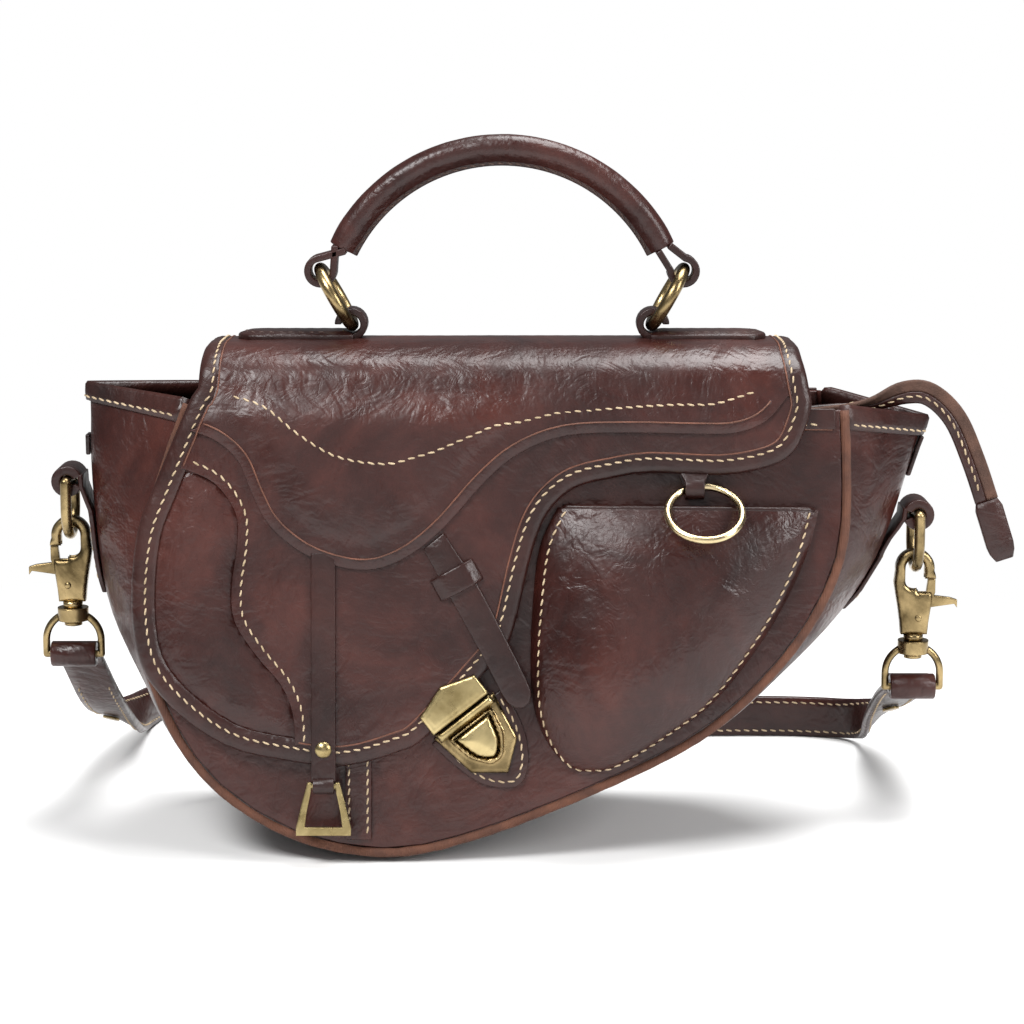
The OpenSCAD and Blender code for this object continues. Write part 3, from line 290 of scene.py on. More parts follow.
def metal(name, low, high, rough):
    m, nt, bsdf = node_tree(name)
    feed(nt, bsdf, Metallic=1.0, Roughness=grey(nt, noise_of(nt, 130, 5), rough),
         Base_Color=ramp(nt, noise_of(nt, 60, 6, 0.6, 0.4), [(0.35, low), (0.65, high)]))
    # Cast metal: its edges catch the light as if worn round
    worn = add(nt, "ShaderNodeBevel", Radius=0.0009, samples=6)
    bumps(nt, bsdf, [(noise_of(nt, 300, 4), 0.12, 0.0004), (noise_of(nt, 40, 3), 0.16, 0.0014)],
          worn.outputs["Normal"])
    return m


def cloth(name, dark, light, scale=700, rough=0.85):
    m, nt, bsdf = node_tree(name)
    weave = add(nt, "ShaderNodeTexWave", Scale=scale, Distortion=1.2, Vector=coords(nt))
    feed(nt, bsdf, Base_Color=ramp(nt, noise_of(nt, 120, 6), [(0.3, dark), (0.7, light)]),
         Roughness=grey(nt, noise_of(nt, 90, 3), (rough - 0.1, rough), (0.2, 0.8)))
    bumps(nt, bsdf, [(weave.outputs["Fac"], 0.3, 0.0004), (noise_of(nt, 600, 4), 0.5, 0.0005)])
    return m


BROWN = leather("leather_brown", (0.0125, 0.0031, 0.0025), (0.033, 0.0084, 0.0064),
                (0.068, 0.0185, 0.0135), (0.26, 0.44))
DARK = leather("leather_edge", (0.0095, 0.0029, 0.0024), (0.024, 0.0068, 0.0053),
               (0.046, 0.0135, 0.0102), (0.28, 0.46), 0.35)
WARM = cloth("suede_piping", (0.05, 0.0165, 0.0085), (0.12, 0.043, 0.0215), 400)
CREASE = cloth("waxed_crease", (0.075, 0.025, 0.013), (0.16, 0.056, 0.03), 1500, 0.6)
BRASS = metal("antique_brass", (0.085, 0.06, 0.027), (0.4, 0.295, 0.145), (0.2, 0.36))
BRIGHT = metal("brushed_brass", (0.25, 0.19, 0.085), (0.52, 0.415, 0.21), (0.22, 0.38))
GOLD = metal("pale_gold", (0.44, 0.34, 0.18), (0.62, 0.5, 0.3), (0.16, 0.28))
TAPE = cloth("zip_tape", (0.04, 0.017, 0.01), (0.1, 0.045, 0.028), 900)
THREAD = cloth("waxed_thread", (0.33, 0.24, 0.14), (0.56, 0.43, 0.28), 1500, 0.7)
DARK_THREAD = cloth("dark_thread", (0.03, 0.016, 0.012), (0.07, 0.035, 0.025), 1500, 0.6)


# Building pieces
EDGE_ANGLE, EDGE_ROUNDS = math.radians(48), 3


def piece(name, verts, faces, mat, body="root", nodes=(), bevel=0, sub=0, turn=False):
    """A mesh from points in millimetres, with its body and the nodes it replaces."""
    me = bpy.data.meshes.new(name)
    me.from_pydata([((x + FOOT_X) / 1000, y / 1000, z / 1000) for x, y, z in verts], [],
                   [tuple(f) for f in faces])
    me.validate()
    if turn:
        me.flip_normals()
    me.polygons.foreach_set("use_smooth", [True] * len(me.polygons))
    me.materials.append(mat)
    o = bpy.data.objects.new(name, me)
    bpy.context.scene.collection.objects.link(o)
    if bevel:
        b = o.modifiers.new("Rounding", "BEVEL")
        b.width, b.segments = bevel / 1000, EDGE_ROUNDS
        b.limit_method, b.angle_limit = "ANGLE", EDGE_ANGLE
    if sub:
        b = o.modifiers.new("Subdivision", "SUBSURF")
        b.levels = b.render_levels = sub
    if body:
        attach(o, body)
    if nodes:
        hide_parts(*nodes)
    return o


def edge_distance(p, loop):
    best = math.inf
    for (ax, ay), (bx, by) in sides_of(loop):
        dx, dy = bx - ax, by - ay
        t = ((p[0] - ax) * dx + (p[1] - ay) * dy) / ((dx * dx + dy * dy) or 1)
        t = min(1, max(0, t))
        best = min(best, math.hypot(p[0] - ax - dx * t, p[1] - ay - dy * t))
    return best


def inside(p, loop):
    hit = False
    for (ax, ay), (bx, by) in sides_of(loop):
        if (ay > p[1]) != (by > p[1]) and p[0] < ax + (p[1] - ay) * (bx - ax) / (by - ay):
            hit = not hit
    return hit


def rule(value):
    """A function as it is, or a plain number as a function that always gives it."""
    return value if callable(value) else (lambda *place: value)


EDGE_CLEAR = 0.45


def plate(name, loop, low, high, place, mat, step=4.0, **kw):
    """A sheet between the heights low and high, functions of u, v and edge distance."""
    pts = [tuple(p) for p in loop]
    (u0, v0), (u1, v1) = (tuple(pick(c) for c in zip(*pts)) for pick in (min, max))
    for i in range(int((u1 - u0) / step) + 2):
        for j in range(int((v1 - v0) / step) + 2):
            p = (u0 + i * step, v0 + (j + (i % 2) * 0.5) * step)
            if inside(p, loop) and edge_distance(p, loop) > step * EDGE_CLEAR:
                pts.append(p)
    n = len(loop)
    edges = [(i, (i + 1) % n) for i in range(n)]
    spots, _, tri, *_ = delaunay_2d_cdt([Vector(p) for p in pts], edges, [], 1, 1e-4)
    spots = [(u, v, edge_distance((u, v), loop)) for u, v in spots]
    top, bottom = ([place(u, v, rule(h)(u, v, d)) for u, v, d in spots] for h in (high, low))
    m = len(top)
    faces = [tuple(t) for t in tri] + [tuple(m + i for i in reversed(t)) for t in tri]
    rim = dict.fromkeys(side for t in tri for side in sides_of(t))
    faces += [(b, a, m + a, m + b) for a, b in rim if (b, a) not in rim]
    return piece(name, top + bottom, faces, mat, **kw)


def grid(name, rows, mat, **kw):
    """A closed skin round rows of points, each row a ring, with a face at both ends."""
    m = len(rows[0])
    rings = [range(i * m, i * m + m) for i in range(len(rows))]
    faces = [(a[k], a[(k + 1) % m], b[(k + 1) % m], b[k])
             for a, b in zip(rings, rings[1:]) for k in range(m)]
    faces += [tuple(rings[0])[::-1], tuple(rings[-1])]
    return piece(name, [p for r in rows for p in r], faces, mat, **kw)


def shell(name, outer, inner, mat, **kw):
    rows = [list(a) + list(reversed(b)) for a, b in zip(outer, inner)]
    return grid(name, rows, mat, **kw)


def tube(name, path, r, mat, sides=12, wobble=0.0, **kw):
    rows = []
    for i, p in enumerate(path):
        a, b = Vector(path[max(i - 1, 0)]), Vector(path[min(i + 1, len(path) - 1)])
        t = (b - a).normalized()
        u = t.cross(Vector((0, 1, 0)))
        u = (u if u.length > 0.05 else t.cross(Vector((1, 0, 0)))).normalized()
        v = t.cross(u)
        q = r * (1 + wobble * ripple(*p, 0.35))
        rows.append([tuple(Vector(p) + u * x + v * y) for x, y in circle(q, sides)])
    return grid(name, rows, mat, **kw)


def oblong(half, t):
    return [(-half, -t), (half, -t), (half, t), (-half, t)]


def band(name, path, section, place, mat, **kw):
    """A closed section carried along a path seen from the side, as (across, off the path)."""
    rows = []
    for i, (a, b) in enumerate(path):
        n = left_of(path, i)
        rows.append([place(x, a + n[0] * d, b + n[1] * d)
                     for x, d in rule(section)(a)])
    return grid(name, rows, mat, **kw)


def round_band(name, radii, half, a0, a1, n, place, mat, **kw):
    """A band bent round an axis from the angle a0 to a1, between two radii."""
    inner, outer = (arc(0, 0, r, a0, a1, n) for r in radii)
    rows = [[place(-half, *p), place(half, *p), place(half, *q), place(-half, *q)]
            for p, q in zip(inner, outer)]
    return grid(name, rows, mat, **kw)


STITCH_LIFT, STITCH_SINK, STITCH_SLANT = 0.1, 0.55, 0.45


def stitches(name, path, normals, body="root", pitch=3.5, length=2.4, r=0.36, mat=THREAD):
    """Short waxed stitches along a 3D path, slanted and half sunk in the leather."""
    s = lengths(path)

    def at(t):
        k, f = locate(s, t)
        return between(path[k], path[k + 1], f), between(normals[k], normals[k + 1], f)

    verts, faces, sides = [], [], 6
    profile = ((0.0, 0.35), (0.12, 0.85), (0.5, 1.0), (0.88, 0.85), (1.0, 0.35))
    t = pitch * 0.4
    while t + length < s[-1]:
        rings = []
        for share, width in profile:
            p, n = at(t + share * length)
            ahead = at(t + share * length + 0.4)[0] - p
            n.normalize()
            across = ahead.cross(n).normalized()
            rise = STITCH_LIFT - STITCH_SINK * r * (2 * share - 1) ** 2
            rings.append(range(len(verts), len(verts) + sides))
            verts += [tuple(p + n * (rise + y) + across * (x + STITCH_SLANT * (share - 0.5)))
                      for x, y in arc(0, 0, r * width, 0, 300, sides - 1)]
        faces += [(a[k], a[(k + 1) % sides], b[(k + 1) % sides], b[k])
                  for a, b in zip(rings, rings[1:]) for k in range(sides)]
        faces += [tuple(rings[-1]), tuple(rings[0])[::-1]]
        t += pitch
    return piece(name, verts, faces, mat, body=body)


def stitch_on(name, uv, height, place, body="root", **kw):
    """Stitches along points (u, v) on a surface at the given height."""
    spots = [(u, v, rule(height)(u, v)) for u, v in resample(uv, 2)]
    path = [place(*p) for p in spots]
    up = [Vector(place(u, v, h + 1)) - Vector(p) for (u, v, h), p in zip(spots, path)]
    return stitches(name, path, up, body=body, **kw)


def ripple(x, y, z, scale):
    return noise.noise(Vector((x, y, z)) * scale)


# Body: seam, gusset, panels and piping
SEAM_SHARES = [(-0.355, 0.985), (-0.388, 0.81), (-0.41, 0.62), (-0.408, 0.48), (-0.375, 0.3),
               (-0.323, 0.168), (-0.237, 0.068), (-0.137, 0.031), (-0.047, 0.06),
               (0.067, 0.138), (0.203, 0.256), (0.283, 0.37), (0.347, 0.513), (0.383, 0.66),
               (0.39, 0.81), (0.387, 0.975)]
SEAM = curve([(a * BODY_W, b * BODY_H) for a, b in SEAM_SHARES], 2)
RIDGE_HALF, KNUCKLE = 9.5, 0.16


def wing_share(v):
    return (v / BODY_H) ** 2


def gusset_row(i, off, sag=0.0):
    """Corners of the gusset's section at a point of the seam, off its outer face."""
    p, n, v = SEAM[i], left_of(SEAM, i), SEAM[i][1]
    n = (-n[0], -n[1])
    wing = (WING_LEFT if i < len(SEAM) / 2 else WING_RIGHT) * wing_share(v)
    swell = SWELL * (1 - wing_share(v) * 0.8)
    z0 = v * math.cos(LEAN)
    z_in = (z0 + n[1] * off + PANEL_T * math.sin(LEAN)) / math.cos(LEAN)
    edge = front_y(z_in, -PANEL_T)
    ridge = RIDGE_HALF * max(0.12, min(1, (1 - v / BODY_H) / 0.18))
    knuckle = edge * (1 - KNUCKLE)
    drop = DROP * (v / BODY_H) ** 6 if i > len(SEAM) / 2 else sag * (v / BODY_H) ** 8
    out = swell + wing * KNUCKLE
    rows = [(0, edge, 0), (out, knuckle, KNUCKLE), (SWELL + wing, -ridge, 1),
            (SWELL + wing, ridge, 1), (out, -knuckle, KNUCKLE), (0, -edge, 0)]
    return [(p[0] + n[0] * (a + off), y, max(-off if off < 0 else 0,
             z0 + n[1] * (a + off) - drop * c)) for a, y, c in rows]


def section(i, off):
    """A gusset section with rounded knuckles and a soft hollow between them."""
    a = [Vector(p) for p in gusset_row(i, off, LEFT_SAG)]
    line = [p.lerp(q, k / 5) for p, q in zip(a, a[1:]) for k in range(5)] + [a[-1]]
    for _ in range(2):
        line[1:-1] = [(p + 2 * q + r) / 4 for p, q, r in zip(line, line[1:], line[2:])]
    return [tuple(p) for p in line]


def spline_rows(rows, n):
    cols = [curve([r[k] for r in rows], n) for k in range(len(rows[0]))]
    return [[c[i] for c in cols] for i in range(len(cols[0]))]


def gusset_skin(depth):
    rows = spline_rows([section(i, -depth) for i in range(len(SEAM))], 2)
    return [[(x, y, max(depth, z)) for x, y, z in r] for r in rows]


shell("gusset_leather", gusset_skin(0), gusset_skin(GUSSET_T), BROWN, nodes=["gusset"])
for side, place in FACES:
    plate(side + "_panel_leather", SEAM, -PANEL_T,
          lambda u, v, d: 0.12 * ripple(u, v, 3, 0.05) * smooth(0, 12, d), place, BROWN,
          step=6, nodes=[side + "_panel"], turn=side == "back", bevel=0.4)
    welt = [place(*q, WELT_R - PANEL_T)
            for q in resample(inset(curve(SEAM, 2), -WELT_R - SEAM_GAP), 3)]
    tube(side + "_piping", welt, WELT_R, WARM, 10, 0.12, nodes=[side + "_welt"])


# Mouth binding: strips on the panels and round the wings
MOUTH_H, RIM = 7, 0.6
U0, U1 = SEAM[0][0] + 1.5, SEAM[-1][0] - 1.5
V_LEFT, V_RIGHT = SEAM[0][1] + RIM, SEAM[-1][1] + RIM
LOW_LEFT, LOW_RIGHT = (U0, V_LEFT - MOUTH_H), (U1, V_RIGHT - MOUTH_H)
rim_loop = (resample([LOW_LEFT, LOW_RIGHT], 6)[:-1] + resample([LOW_RIGHT, (U1, V_RIGHT)], 3)[:-1]
            + resample([(U1, V_RIGHT), (U0, V_LEFT)], 6)[:-1]
            + resample([(U0, V_LEFT), LOW_LEFT], 3)[:-1])


def along_rim(margin, rise):
    return [(U0 + margin, LOW_LEFT[1] + rise), (U1 - margin, LOW_RIGHT[1] + rise)]


for side, place in FACES:
    plate("mouth_strip_" + side, rim_loop, SEAM_GAP,
          lambda u, v, d: SEAM_GAP + 1.2 + 0.12 * ripple(u, v, 9, 0.2), place, DARK,
          step=5, nodes=["mouth_binding_" + side], turn=side == "back", bevel=0.4)
    tube("mouth_strip_crease_" + side, [place(u, v, SEAM_GAP + 0.7) for u, v in resample(
        along_rim(1, -0.15), 4)], CREASE_R, CREASE, 6)
    stitch_on("mouth_strip_stitches_" + side, along_rim(3, 1.6), 1.4, place)


def wing_binding(name, i, nxt, node):
    share = MOUTH_H / math.dist(SEAM[i], SEAM[nxt])
    cols = range(2, len(section(i, 0)) - 2)

    def row(s, off, rise=0.0):
        a, b = section(i, off), section(nxt, off)
        return [tuple(Vector(a[k]).lerp(Vector(b[k]), s) + Vector((0, 0, rise)))
                for k in cols]

    rows = [row(share, 0.6), row(share, 1.7), row(share * 0.5, 2.0), row(0, 1.8, 0.4),
            row(-0.08, 1.0, 1.0), row(-0.08, -1.6, 1.0), row(0, -2.8, 0.3), row(share, -2.6)]
    grid(name, [list(r) for r in zip(*rows)], DARK, nodes=[node], turn=i > nxt)
    path = row(share * 0.75, 1.95)
    up = [Vector(p) - Vector(q) for p, q in zip(row(share * 0.75, 3), path)]
    stitches(name + "_stitches", path, up)


wing_binding("wing_binding_left", 0, 1, "mouth_binding_left")
wing_binding("wing_binding_right", len(SEAM) - 1, len(SEAM) - 2, "mouth_binding_right")


def box_loop(u0, u1, v0, v1):
    return [(u0, v0), (u1, v0), (u1, v1), (u0, v1)]


# Narrow strip on the front panel
STRIP_U, STRIP_HALF, STRIP_LOW, STRIP_TOP = BODY_W * -0.165, 4.5, 8, 62
plate("panel_strip", box_loop(STRIP_U - STRIP_HALF, STRIP_U + STRIP_HALF, STRIP_LOW, STRIP_TOP),
      0, 1.6, on_front, BROWN, step=3, nodes=["seam_strip"], bevel=SOFT_EDGE)
for f, name in ((-1, "left"), (1, "right")):
    sew_u = STRIP_U + f * (STRIP_HALF - 1.3)
    stitch_on("panel_strip_stitches_" + name, [(sew_u, STRIP_LOW + 1), (sew_u, STRIP_TOP - 2)],
              1.6, on_front, pitch=3.3)

# Patch pocket
POCKET = [(0.064, 0.768, 0.363, 0.762, 0.42), (0.043, 0.68, 0.35, 0.67, 0.78),
          (0.035, 0.545, 0.32, 0.545, 0.97), (0.033, 0.425, 0.278, 0.425, 1),
          (0.037, 0.335, 0.236, 0.335, 0.85), (0.052, 0.262, 0.181, 0.262, 0.55),
          (0.075, 0.212, 0.135, 0.212, 0.2), (0.096, 0.198, 0.112, 0.198, 0)]
POCKET_BULGE, POCKET_T, POCKET_COLS = 17, 1.8, 36


def pocket_at(row, s, off):
    """Point of the pocket between a row's ends, which hold u and v, by the row's swell."""
    u = (row[0] + (row[2] - row[0]) * s) * BODY_W
    v = (row[1] + (row[3] - row[1]) * s) * BODY_H
    crown = math.sin(math.pi * min(1, max(0, s))) ** 0.7
    w = off + 0.08 + POCKET_BULGE * max(0, row[4]) * crown
    w += 0.7 * ripple(u, v, 5, 0.045) * crown
    return on_front(u, v, max(w, off))


outside, lining = ([[pocket_at(r, k / POCKET_COLS, off) for k in range(POCKET_COLS + 1)]
                    for r in curve(POCKET, 5)] for off in (POCKET_T, 0))
shell("patch_pocket_leather", outside, lining, BROWN, nodes=["patch_pocket"], bevel=SOFT_EDGE)
tube("pocket_mouth_edge", [pocket_at(POCKET[0], 0.02 + 0.96 * k / 40, POCKET_T * 0.55)
                           for k in range(41)], 1.05, DARK, 10, 0.1)
# One line of stitches down the left side, round the bottom and up the right side
side_rows = curve(POCKET, 6)[:-3]
spots = ([(r, 0.035) for r in side_rows]
         + [(side_rows[-1], s) for s in (0.17, 0.33, 0.5, 0.67, 0.83)]
         + [(r, 0.965) for r in side_rows[::-1]])
sew = [pocket_at(r, s, POCKET_T + 0.1) for r, s in spots]
stitches("pocket_stitches", sew, [Vector(pocket_at(r, s, POCKET_T + 1.1)) - Vector(p)
                                  for (r, s), p in zip(spots, sew)])

# Flap
FLAP_SHARES = [(-0.444, 0.1), (-0.453, 0.118), (-0.479, 0.215), (-0.509, 0.333),
               (-0.534, 0.444), (-0.543, 0.611), (-0.53, 0.757), (-0.483, 0.861),
               (-0.406, 0.951), (-0.32, 0.986), (-0.231, 1), (-0.15, 0.965), (-0.111, 0.93),
               (-0.026, 0.778), (0.013, 0.694), (0.038, 0.528), (0.056, 0.431),
               (0.077, 0.375), (0.111, 0.333), (0.162, 0.313), (0.218, 0.3),
               (0.321, 0.306), (0.393, 0.285), (0.427, 0.25), (0.444, 0.194),
               (0.453, 0.139), (0.449, 0.1)]
EDGE = on_flap(FLAP_SHARES)
TOP_V = FLAT_V + HINGE_S - 4
LEFT_U, RIGHT_U = -0.437 * FLAP_W, 0.437 * FLAP_W
SPAN = curve([(LEFT_U, TOP_V), (LEFT_U - 0.5, 190), (LEFT_U - 1, 175)] + EDGE
             + [(RIGHT_U + 1, 175), (RIGHT_U + 0.5, 190), (RIGHT_U, TOP_V)], 3)
END_V = FLAT_V + FLAP_LINE_S[-1]
THIN_FROM, THIN_TO = 150, 168
CORE_LOOP = ([(LEFT_U + 2, END_V), (LEFT_U + 2, TOP_V)] + resample(inset(SPAN, 1.2), 4)[1:-1]
             + [(RIGHT_U - 2, TOP_V), (RIGHT_U - 2, END_V)])


def thin(v):
    """The share of their height that the flap's layers keep, less where it bends."""
    return 1 - 0.82 * smooth(THIN_FROM, THIN_TO, v)


flap_core = plate("flap_leather", CORE_LOOP, CORE_W,
                  lambda u, v, d: CENTRE_W + 0.25 * ripple(u, v, 1, 0.06) * smooth(0, 15, d),
                  over_flap, BROWN, step=5, body=None, nodes=["flap", "flap_anchor"],
                  bevel=SOFT_EDGE)

# Binding folded round the flap's edge, puckered between its stitches
binding_rows = []
BIND_PATH = resample(SPAN, 2.2)
for i, p in enumerate(BIND_PATH):
    n = left_of(BIND_PATH, i)
    pucker = 0.22 * ripple(i * 1.3, 0, 0, 0.45) + 0.16 * ripple(p[0], p[1], 4, 0.25)
    top = CENTRE_W + BIND_T * thin(p[1])
    low = CORE_W - BIND_T * thin(p[1])
    fold = [(BIND_W, top - 0.5), (7.9, top + 0.1 + pucker * 0.4), (5.5, top + 0.35 + pucker),
            (2.6, top + 0.4 + pucker), (0.9, top - 0.05 + pucker), (0.0, top - 1.1),
            (-0.1, (top + low) / 2), (0.0, low + 1.1), (0.9, low + 0.2), (3, low),
            (BIND_W, low + 0.3)]
    binding_rows.append([over_flap(p[0] + n[0] * d, p[1] + n[1] * d, w) for d, w in fold])
grid("flap_edge_binding", binding_rows, DARK, body="flap", nodes=["flap_binding"])
stitch_on("flap_binding_stitches", inset(BIND_PATH, 4.9)[2:-2],
          lambda u, v: CENTRE_W + BIND_T * thin(v) + 0.45, over_flap, "flap")

# Layers on the flap, within the line where the binding hides their edges
FIELD = inset(resample(SPAN, 3), 6.2)
KNEE = curve(on_flap([(-0.462, 0.292), (-0.419, 0.326), (-0.389, 0.396), (-0.387, 0.472),
                      (-0.395, 0.569), (-0.391, 0.653), (-0.359, 0.736), (-0.323, 0.806),
                      (-0.306, 0.875), (-0.303, 0.95)]), 4)
SEAT = curve(on_flap([(-0.455, 0.2), (-0.419, 0.222), (-0.385, 0.271), (-0.363, 0.354),
                      (-0.338, 0.427), (-0.291, 0.49), (-0.235, 0.524), (-0.184, 0.528),
                      (-0.132, 0.493), (-0.081, 0.424), (-0.026, 0.323), (0.026, 0.253),
                      (0.094, 0.212), (0.188, 0.205), (0.286, 0.208), (0.342, 0.205),
                      (0.385, 0.177), (0.417, 0.12)]), 4)
LAYER_TOP = FLAT_V + HINGE_S - 30


def nearest(p, loop):
    return min(range(len(loop)), key=lambda i: math.dist(p, loop[i]))


def over_top(chain, right):
    """A layer's outline: its lower edge, the right side, over the top and down the left."""
    left = [p for p in FIELD[:len(FIELD) // 2] if chain[0][1] < p[1] < LAYER_TOP]
    return chain + right + [(right[-1][0], LAYER_TOP), (left[0][0], LAYER_TOP)] + left


# Centre panel: right of the knee edge, up over the top
right_side = [p for p in FIELD[nearest(KNEE[-1], FIELD):] if p[1] < LAYER_TOP]
plate("flap_centre_leather", over_top(KNEE, right_side),
      lambda u, v, d: CENTRE_W - 0.4 * thin(v),
      lambda u, v, d: CENTRE_W + (CENTRE_T + 0.35 * smooth(0, 20, d)
                                  + 0.3 * ripple(u, v, 2, 0.05)) * thin(v),
      over_flap, BROWN, step=5, body="flap", nodes=["flap_centre_panel"], bevel=SOFT_EDGE)
stitch_on("centre_panel_stitches", inset(KNEE, 3.2), CENTRE_W + CENTRE_T + 0.1, over_flap,
          "flap")

# Knee roll, a soft pad between the binding and the centre panel
knee_loop = [(u + 1.5, v) for u, v in KNEE[2:-2]]
low_end, high_end = nearest(knee_loop[-1], FIELD), nearest(knee_loop[0], FIELD)
knee_loop = knee_loop[::-1] + FIELD[high_end:low_end + 1]
plate("knee_roll", knee_loop, CENTRE_W - 0.5,
      lambda u, v, d: CENTRE_W + 1.5 * math.sin(math.pi / 2 * smooth(0, 11, d)),
      over_flap, BROWN, step=2.5, body="flap", turn=True)

# Saddle seat, padded, with its raised edge roll
right_side = [p for p in FIELD[len(FIELD) // 2:] if SEAT[-1][1] < p[1] < LAYER_TOP]
seat_loop = over_top(SEAT, right_side)


def seat_height(u, v, d):
    pad = SEAT_T * (0.55 + 0.45 * smooth(0, 4, d)) + 1.7 * smooth(2, 22, d)
    roll = -0.9 * math.exp(-((d - 7.5) / 1.6) ** 2)
    return CENTRE_W + (CENTRE_T + pad + roll + 0.35 * ripple(u, v, 8, 0.05)) * thin(v)


def seat_at(u, v):
    return seat_height(u, v, edge_distance((u, v), seat_loop))


plate("flap_seat_leather", seat_loop, lambda u, v, d: CENTRE_W + 0.3 * thin(v), seat_height,
      over_flap, BROWN, step=3, body="flap", nodes=["flap_seat"], bevel=0.7)
SEAT_LINE = curve([(-93, 161), (-85, 159), (-79, 156), (-72, 150), (-65, 145), (-58, 141),
                   (-51, 139), (-44, 138), (-37, 138), (-30, 140), (-23, 142), (-16, 145),
                   (-9, 148), (-2, 151), (6, 152), (18, 155), (30, 156), (42, 157),
                   (59, 158), (71, 158), (79, 160), (88, 163)], 2)
stitch_on("seat_inner_stitches", SEAT_LINE, seat_at, over_flap, "flap")
SEAT_CREASE = 3.6
tube("seat_edge_crease", [over_flap(u, v, seat_height(u, v, SEAT_CREASE) + 0.04)
                          for u, v in resample(inset(SEAT, SEAT_CREASE)[2:-2], 2)],
     CREASE_R, CREASE, 6, body="flap")


def layer_at(u, v):
    """Height of a crease on the uppermost layer beside the binding."""
    if v > LAYER_TOP - 2:
        return CENTRE_W + 0.3
    if inside((u, v), seat_loop):
        return seat_at(u, v) + 0.1
    if inside((u, v), knee_loop):
        return CENTRE_W + 0.75
    return CENTRE_W + CENTRE_T * thin(v) + 0.05


# Crease along the inner edge of the binding, broken where a layer steps up or down
runs = [[]]
for u, v in resample(inset(SPAN, 6.9), 2):
    p = over_flap(u, v, layer_at(u, v))
    if runs[-1] and math.dist(runs[-1][-1], p) > 3:
        runs.append([])
    runs[-1].append(p)
for i, run in enumerate(r for r in runs if len(r) > 3):
    tube("flap_binding_crease_%d" % i, run, CREASE_R, CREASE, 6, body="flap")
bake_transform(flap_core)

# Stirrup strap, billet strap, keeper and the lock's leather backing
STIRRUP_U, STIRRUP_V, STIRRUP_HALF = -0.261 * FLAP_W, 27.5, 4.2
strap_top = FLAP_V - FLAP_DROP * 0.49
strap_loop = box_loop(STIRRUP_U - STIRRUP_HALF, STIRRUP_U + STIRRUP_HALF, STIRRUP_V + 1.5, strap_top)
plate("stirrup_strap_leather", fine_loop(strap_loop, 4), SEAT_W - 0.6,
      lambda u, v, d: SEAT_W + 2 + 0.15 * ripple(u, v, 6, 0.2), on_front, DARK, step=3,
      body="flap", nodes=["stirrup_strap"], bevel=SOFT_EDGE)
round_band("stirrup_strap_loop", (1.55, 2.9), STIRRUP_HALF - 0.6, -70, 250, 14,
           lambda x, a, b: on_front(STIRRUP_U + x, STIRRUP_V + a, SEAT_W + 1 + b), DARK,
           body="flap", bevel=0.3)
BILLET = on_flap([(-0.115, 0.482), (-0.073, 0.604), (-0.026, 0.743), (0, 0.826),
                  (0.013, 0.854), (0.03, 0.861), (0.043, 0.84), (0.038, 0.799),
                  (0.004, 0.688), (-0.034, 0.569), (-0.085, 0.442)])
plate("billet_leather", even_loop(curve(BILLET, 2), 3), SEAT_W - 0.6,
      lambda u, v, d: SEAT_W + 1.5 + 0.5 * smooth(0, 3, d) + 0.2 * ripple(u, v, 3, 0.15),
      on_front, DARK, step=2.5, body="flap", nodes=["billet_strap"], bevel=SOFT_EDGE)


def turned(spot, degrees):
    """A place function for a piece that lies turned on the front at a spot of the flap."""
    u0, v0 = on_flap([spot])[0]
    c, s = math.cos(math.radians(degrees)), math.sin(math.radians(degrees))
    return lambda x, y, w: on_front(u0 + x * c - y * s, v0 + x * s + y * c, w)


at_keeper = turned((-0.066, 0.555), 28.5)
rows = []
for y in (-4.25, -3.9, -2, 0, 2, 3.9, 4.25):
    base = SEAT_W - (0.35 if abs(y) > 4 else 0)
    arch = [(8.5, SEAT_W - 0.2), (8.5, base + 0.9), (6.8, base + 1.8), (5.2, base + 3.3),
            (2, base + 3.7)]
    rows.append([at_keeper(-x, y, w) for x, w in arch]
                + [at_keeper(x, y, w) for x, w in arch[::-1]])
grid("billet_keeper_leather", rows, DARK, body="flap", nodes=["billet_keeper"], sub=1)

# Tuck lock on its backing: folded top plate, shield with a raised rim, crowned button
at_lock = turned((-0.051, 0.892), 38)
LOCK_W, LOCK_H, LOCK_LOW, PLATE_T, CASE_T = 26, 25, 1.6, 1.6, 2.9
back = [(a * LOCK_W, b * LOCK_H + 2) for a, b in (
    (-0.57, -0.04), (-0.52, -0.4), (-0.4, -0.85), (-0.2, -1.12), (0.02, -1.24), (0.26, -1.1),
    (0.46, -0.8), (0.58, -0.4), (0.6, -0.04))]
back = even_loop(curve(back, 3), 2)
plate("lock_backing_leather", back, 0.05, lambda u, v, d: 1.2 + 0.4 * smooth(0, 3, d),
      at_lock, DARK, step=2.5, nodes=["lock_backing"], bevel=0.4)
stitch_on("lock_backing_stitches", inset(back[4:-12], 2.2), 1.6, at_lock, pitch=3.4)


def lock_shape(shares):
    return fine_loop([(a * LOCK_W, b * LOCK_H + 2) for a, b in shares], 1)


def soft(loop):
    """The loop with its corners rounded, but for the two at its straight top edge."""
    top = max(p[1] for p in loop)
    for _ in range(4):
        n = len(loop)
        loop = [p if p[1] > top - 0.5 else
                tuple((loop[i - 1][k] + 2 * p[k] + loop[(i + 1) % n][k]) / 4 for k in (0, 1))
                for i, p in enumerate(loop)]
    return loop


base_loop = lock_shape([(-0.5, 0), (-0.385, -0.69), (0, -1), (0.385, -0.69), (0.5, 0)])
case_loop = soft(lock_shape([(-0.36, -0.13), (-0.29, -0.52), (-0.1, -0.78), (0.1, -0.78),
                             (0.29, -0.52), (0.36, -0.13)]))
button_loop = soft(lock_shape([(-0.26, -0.2), (-0.17, -0.55), (0, -0.71), (0.17, -0.55),
                               (0.26, -0.2)]))


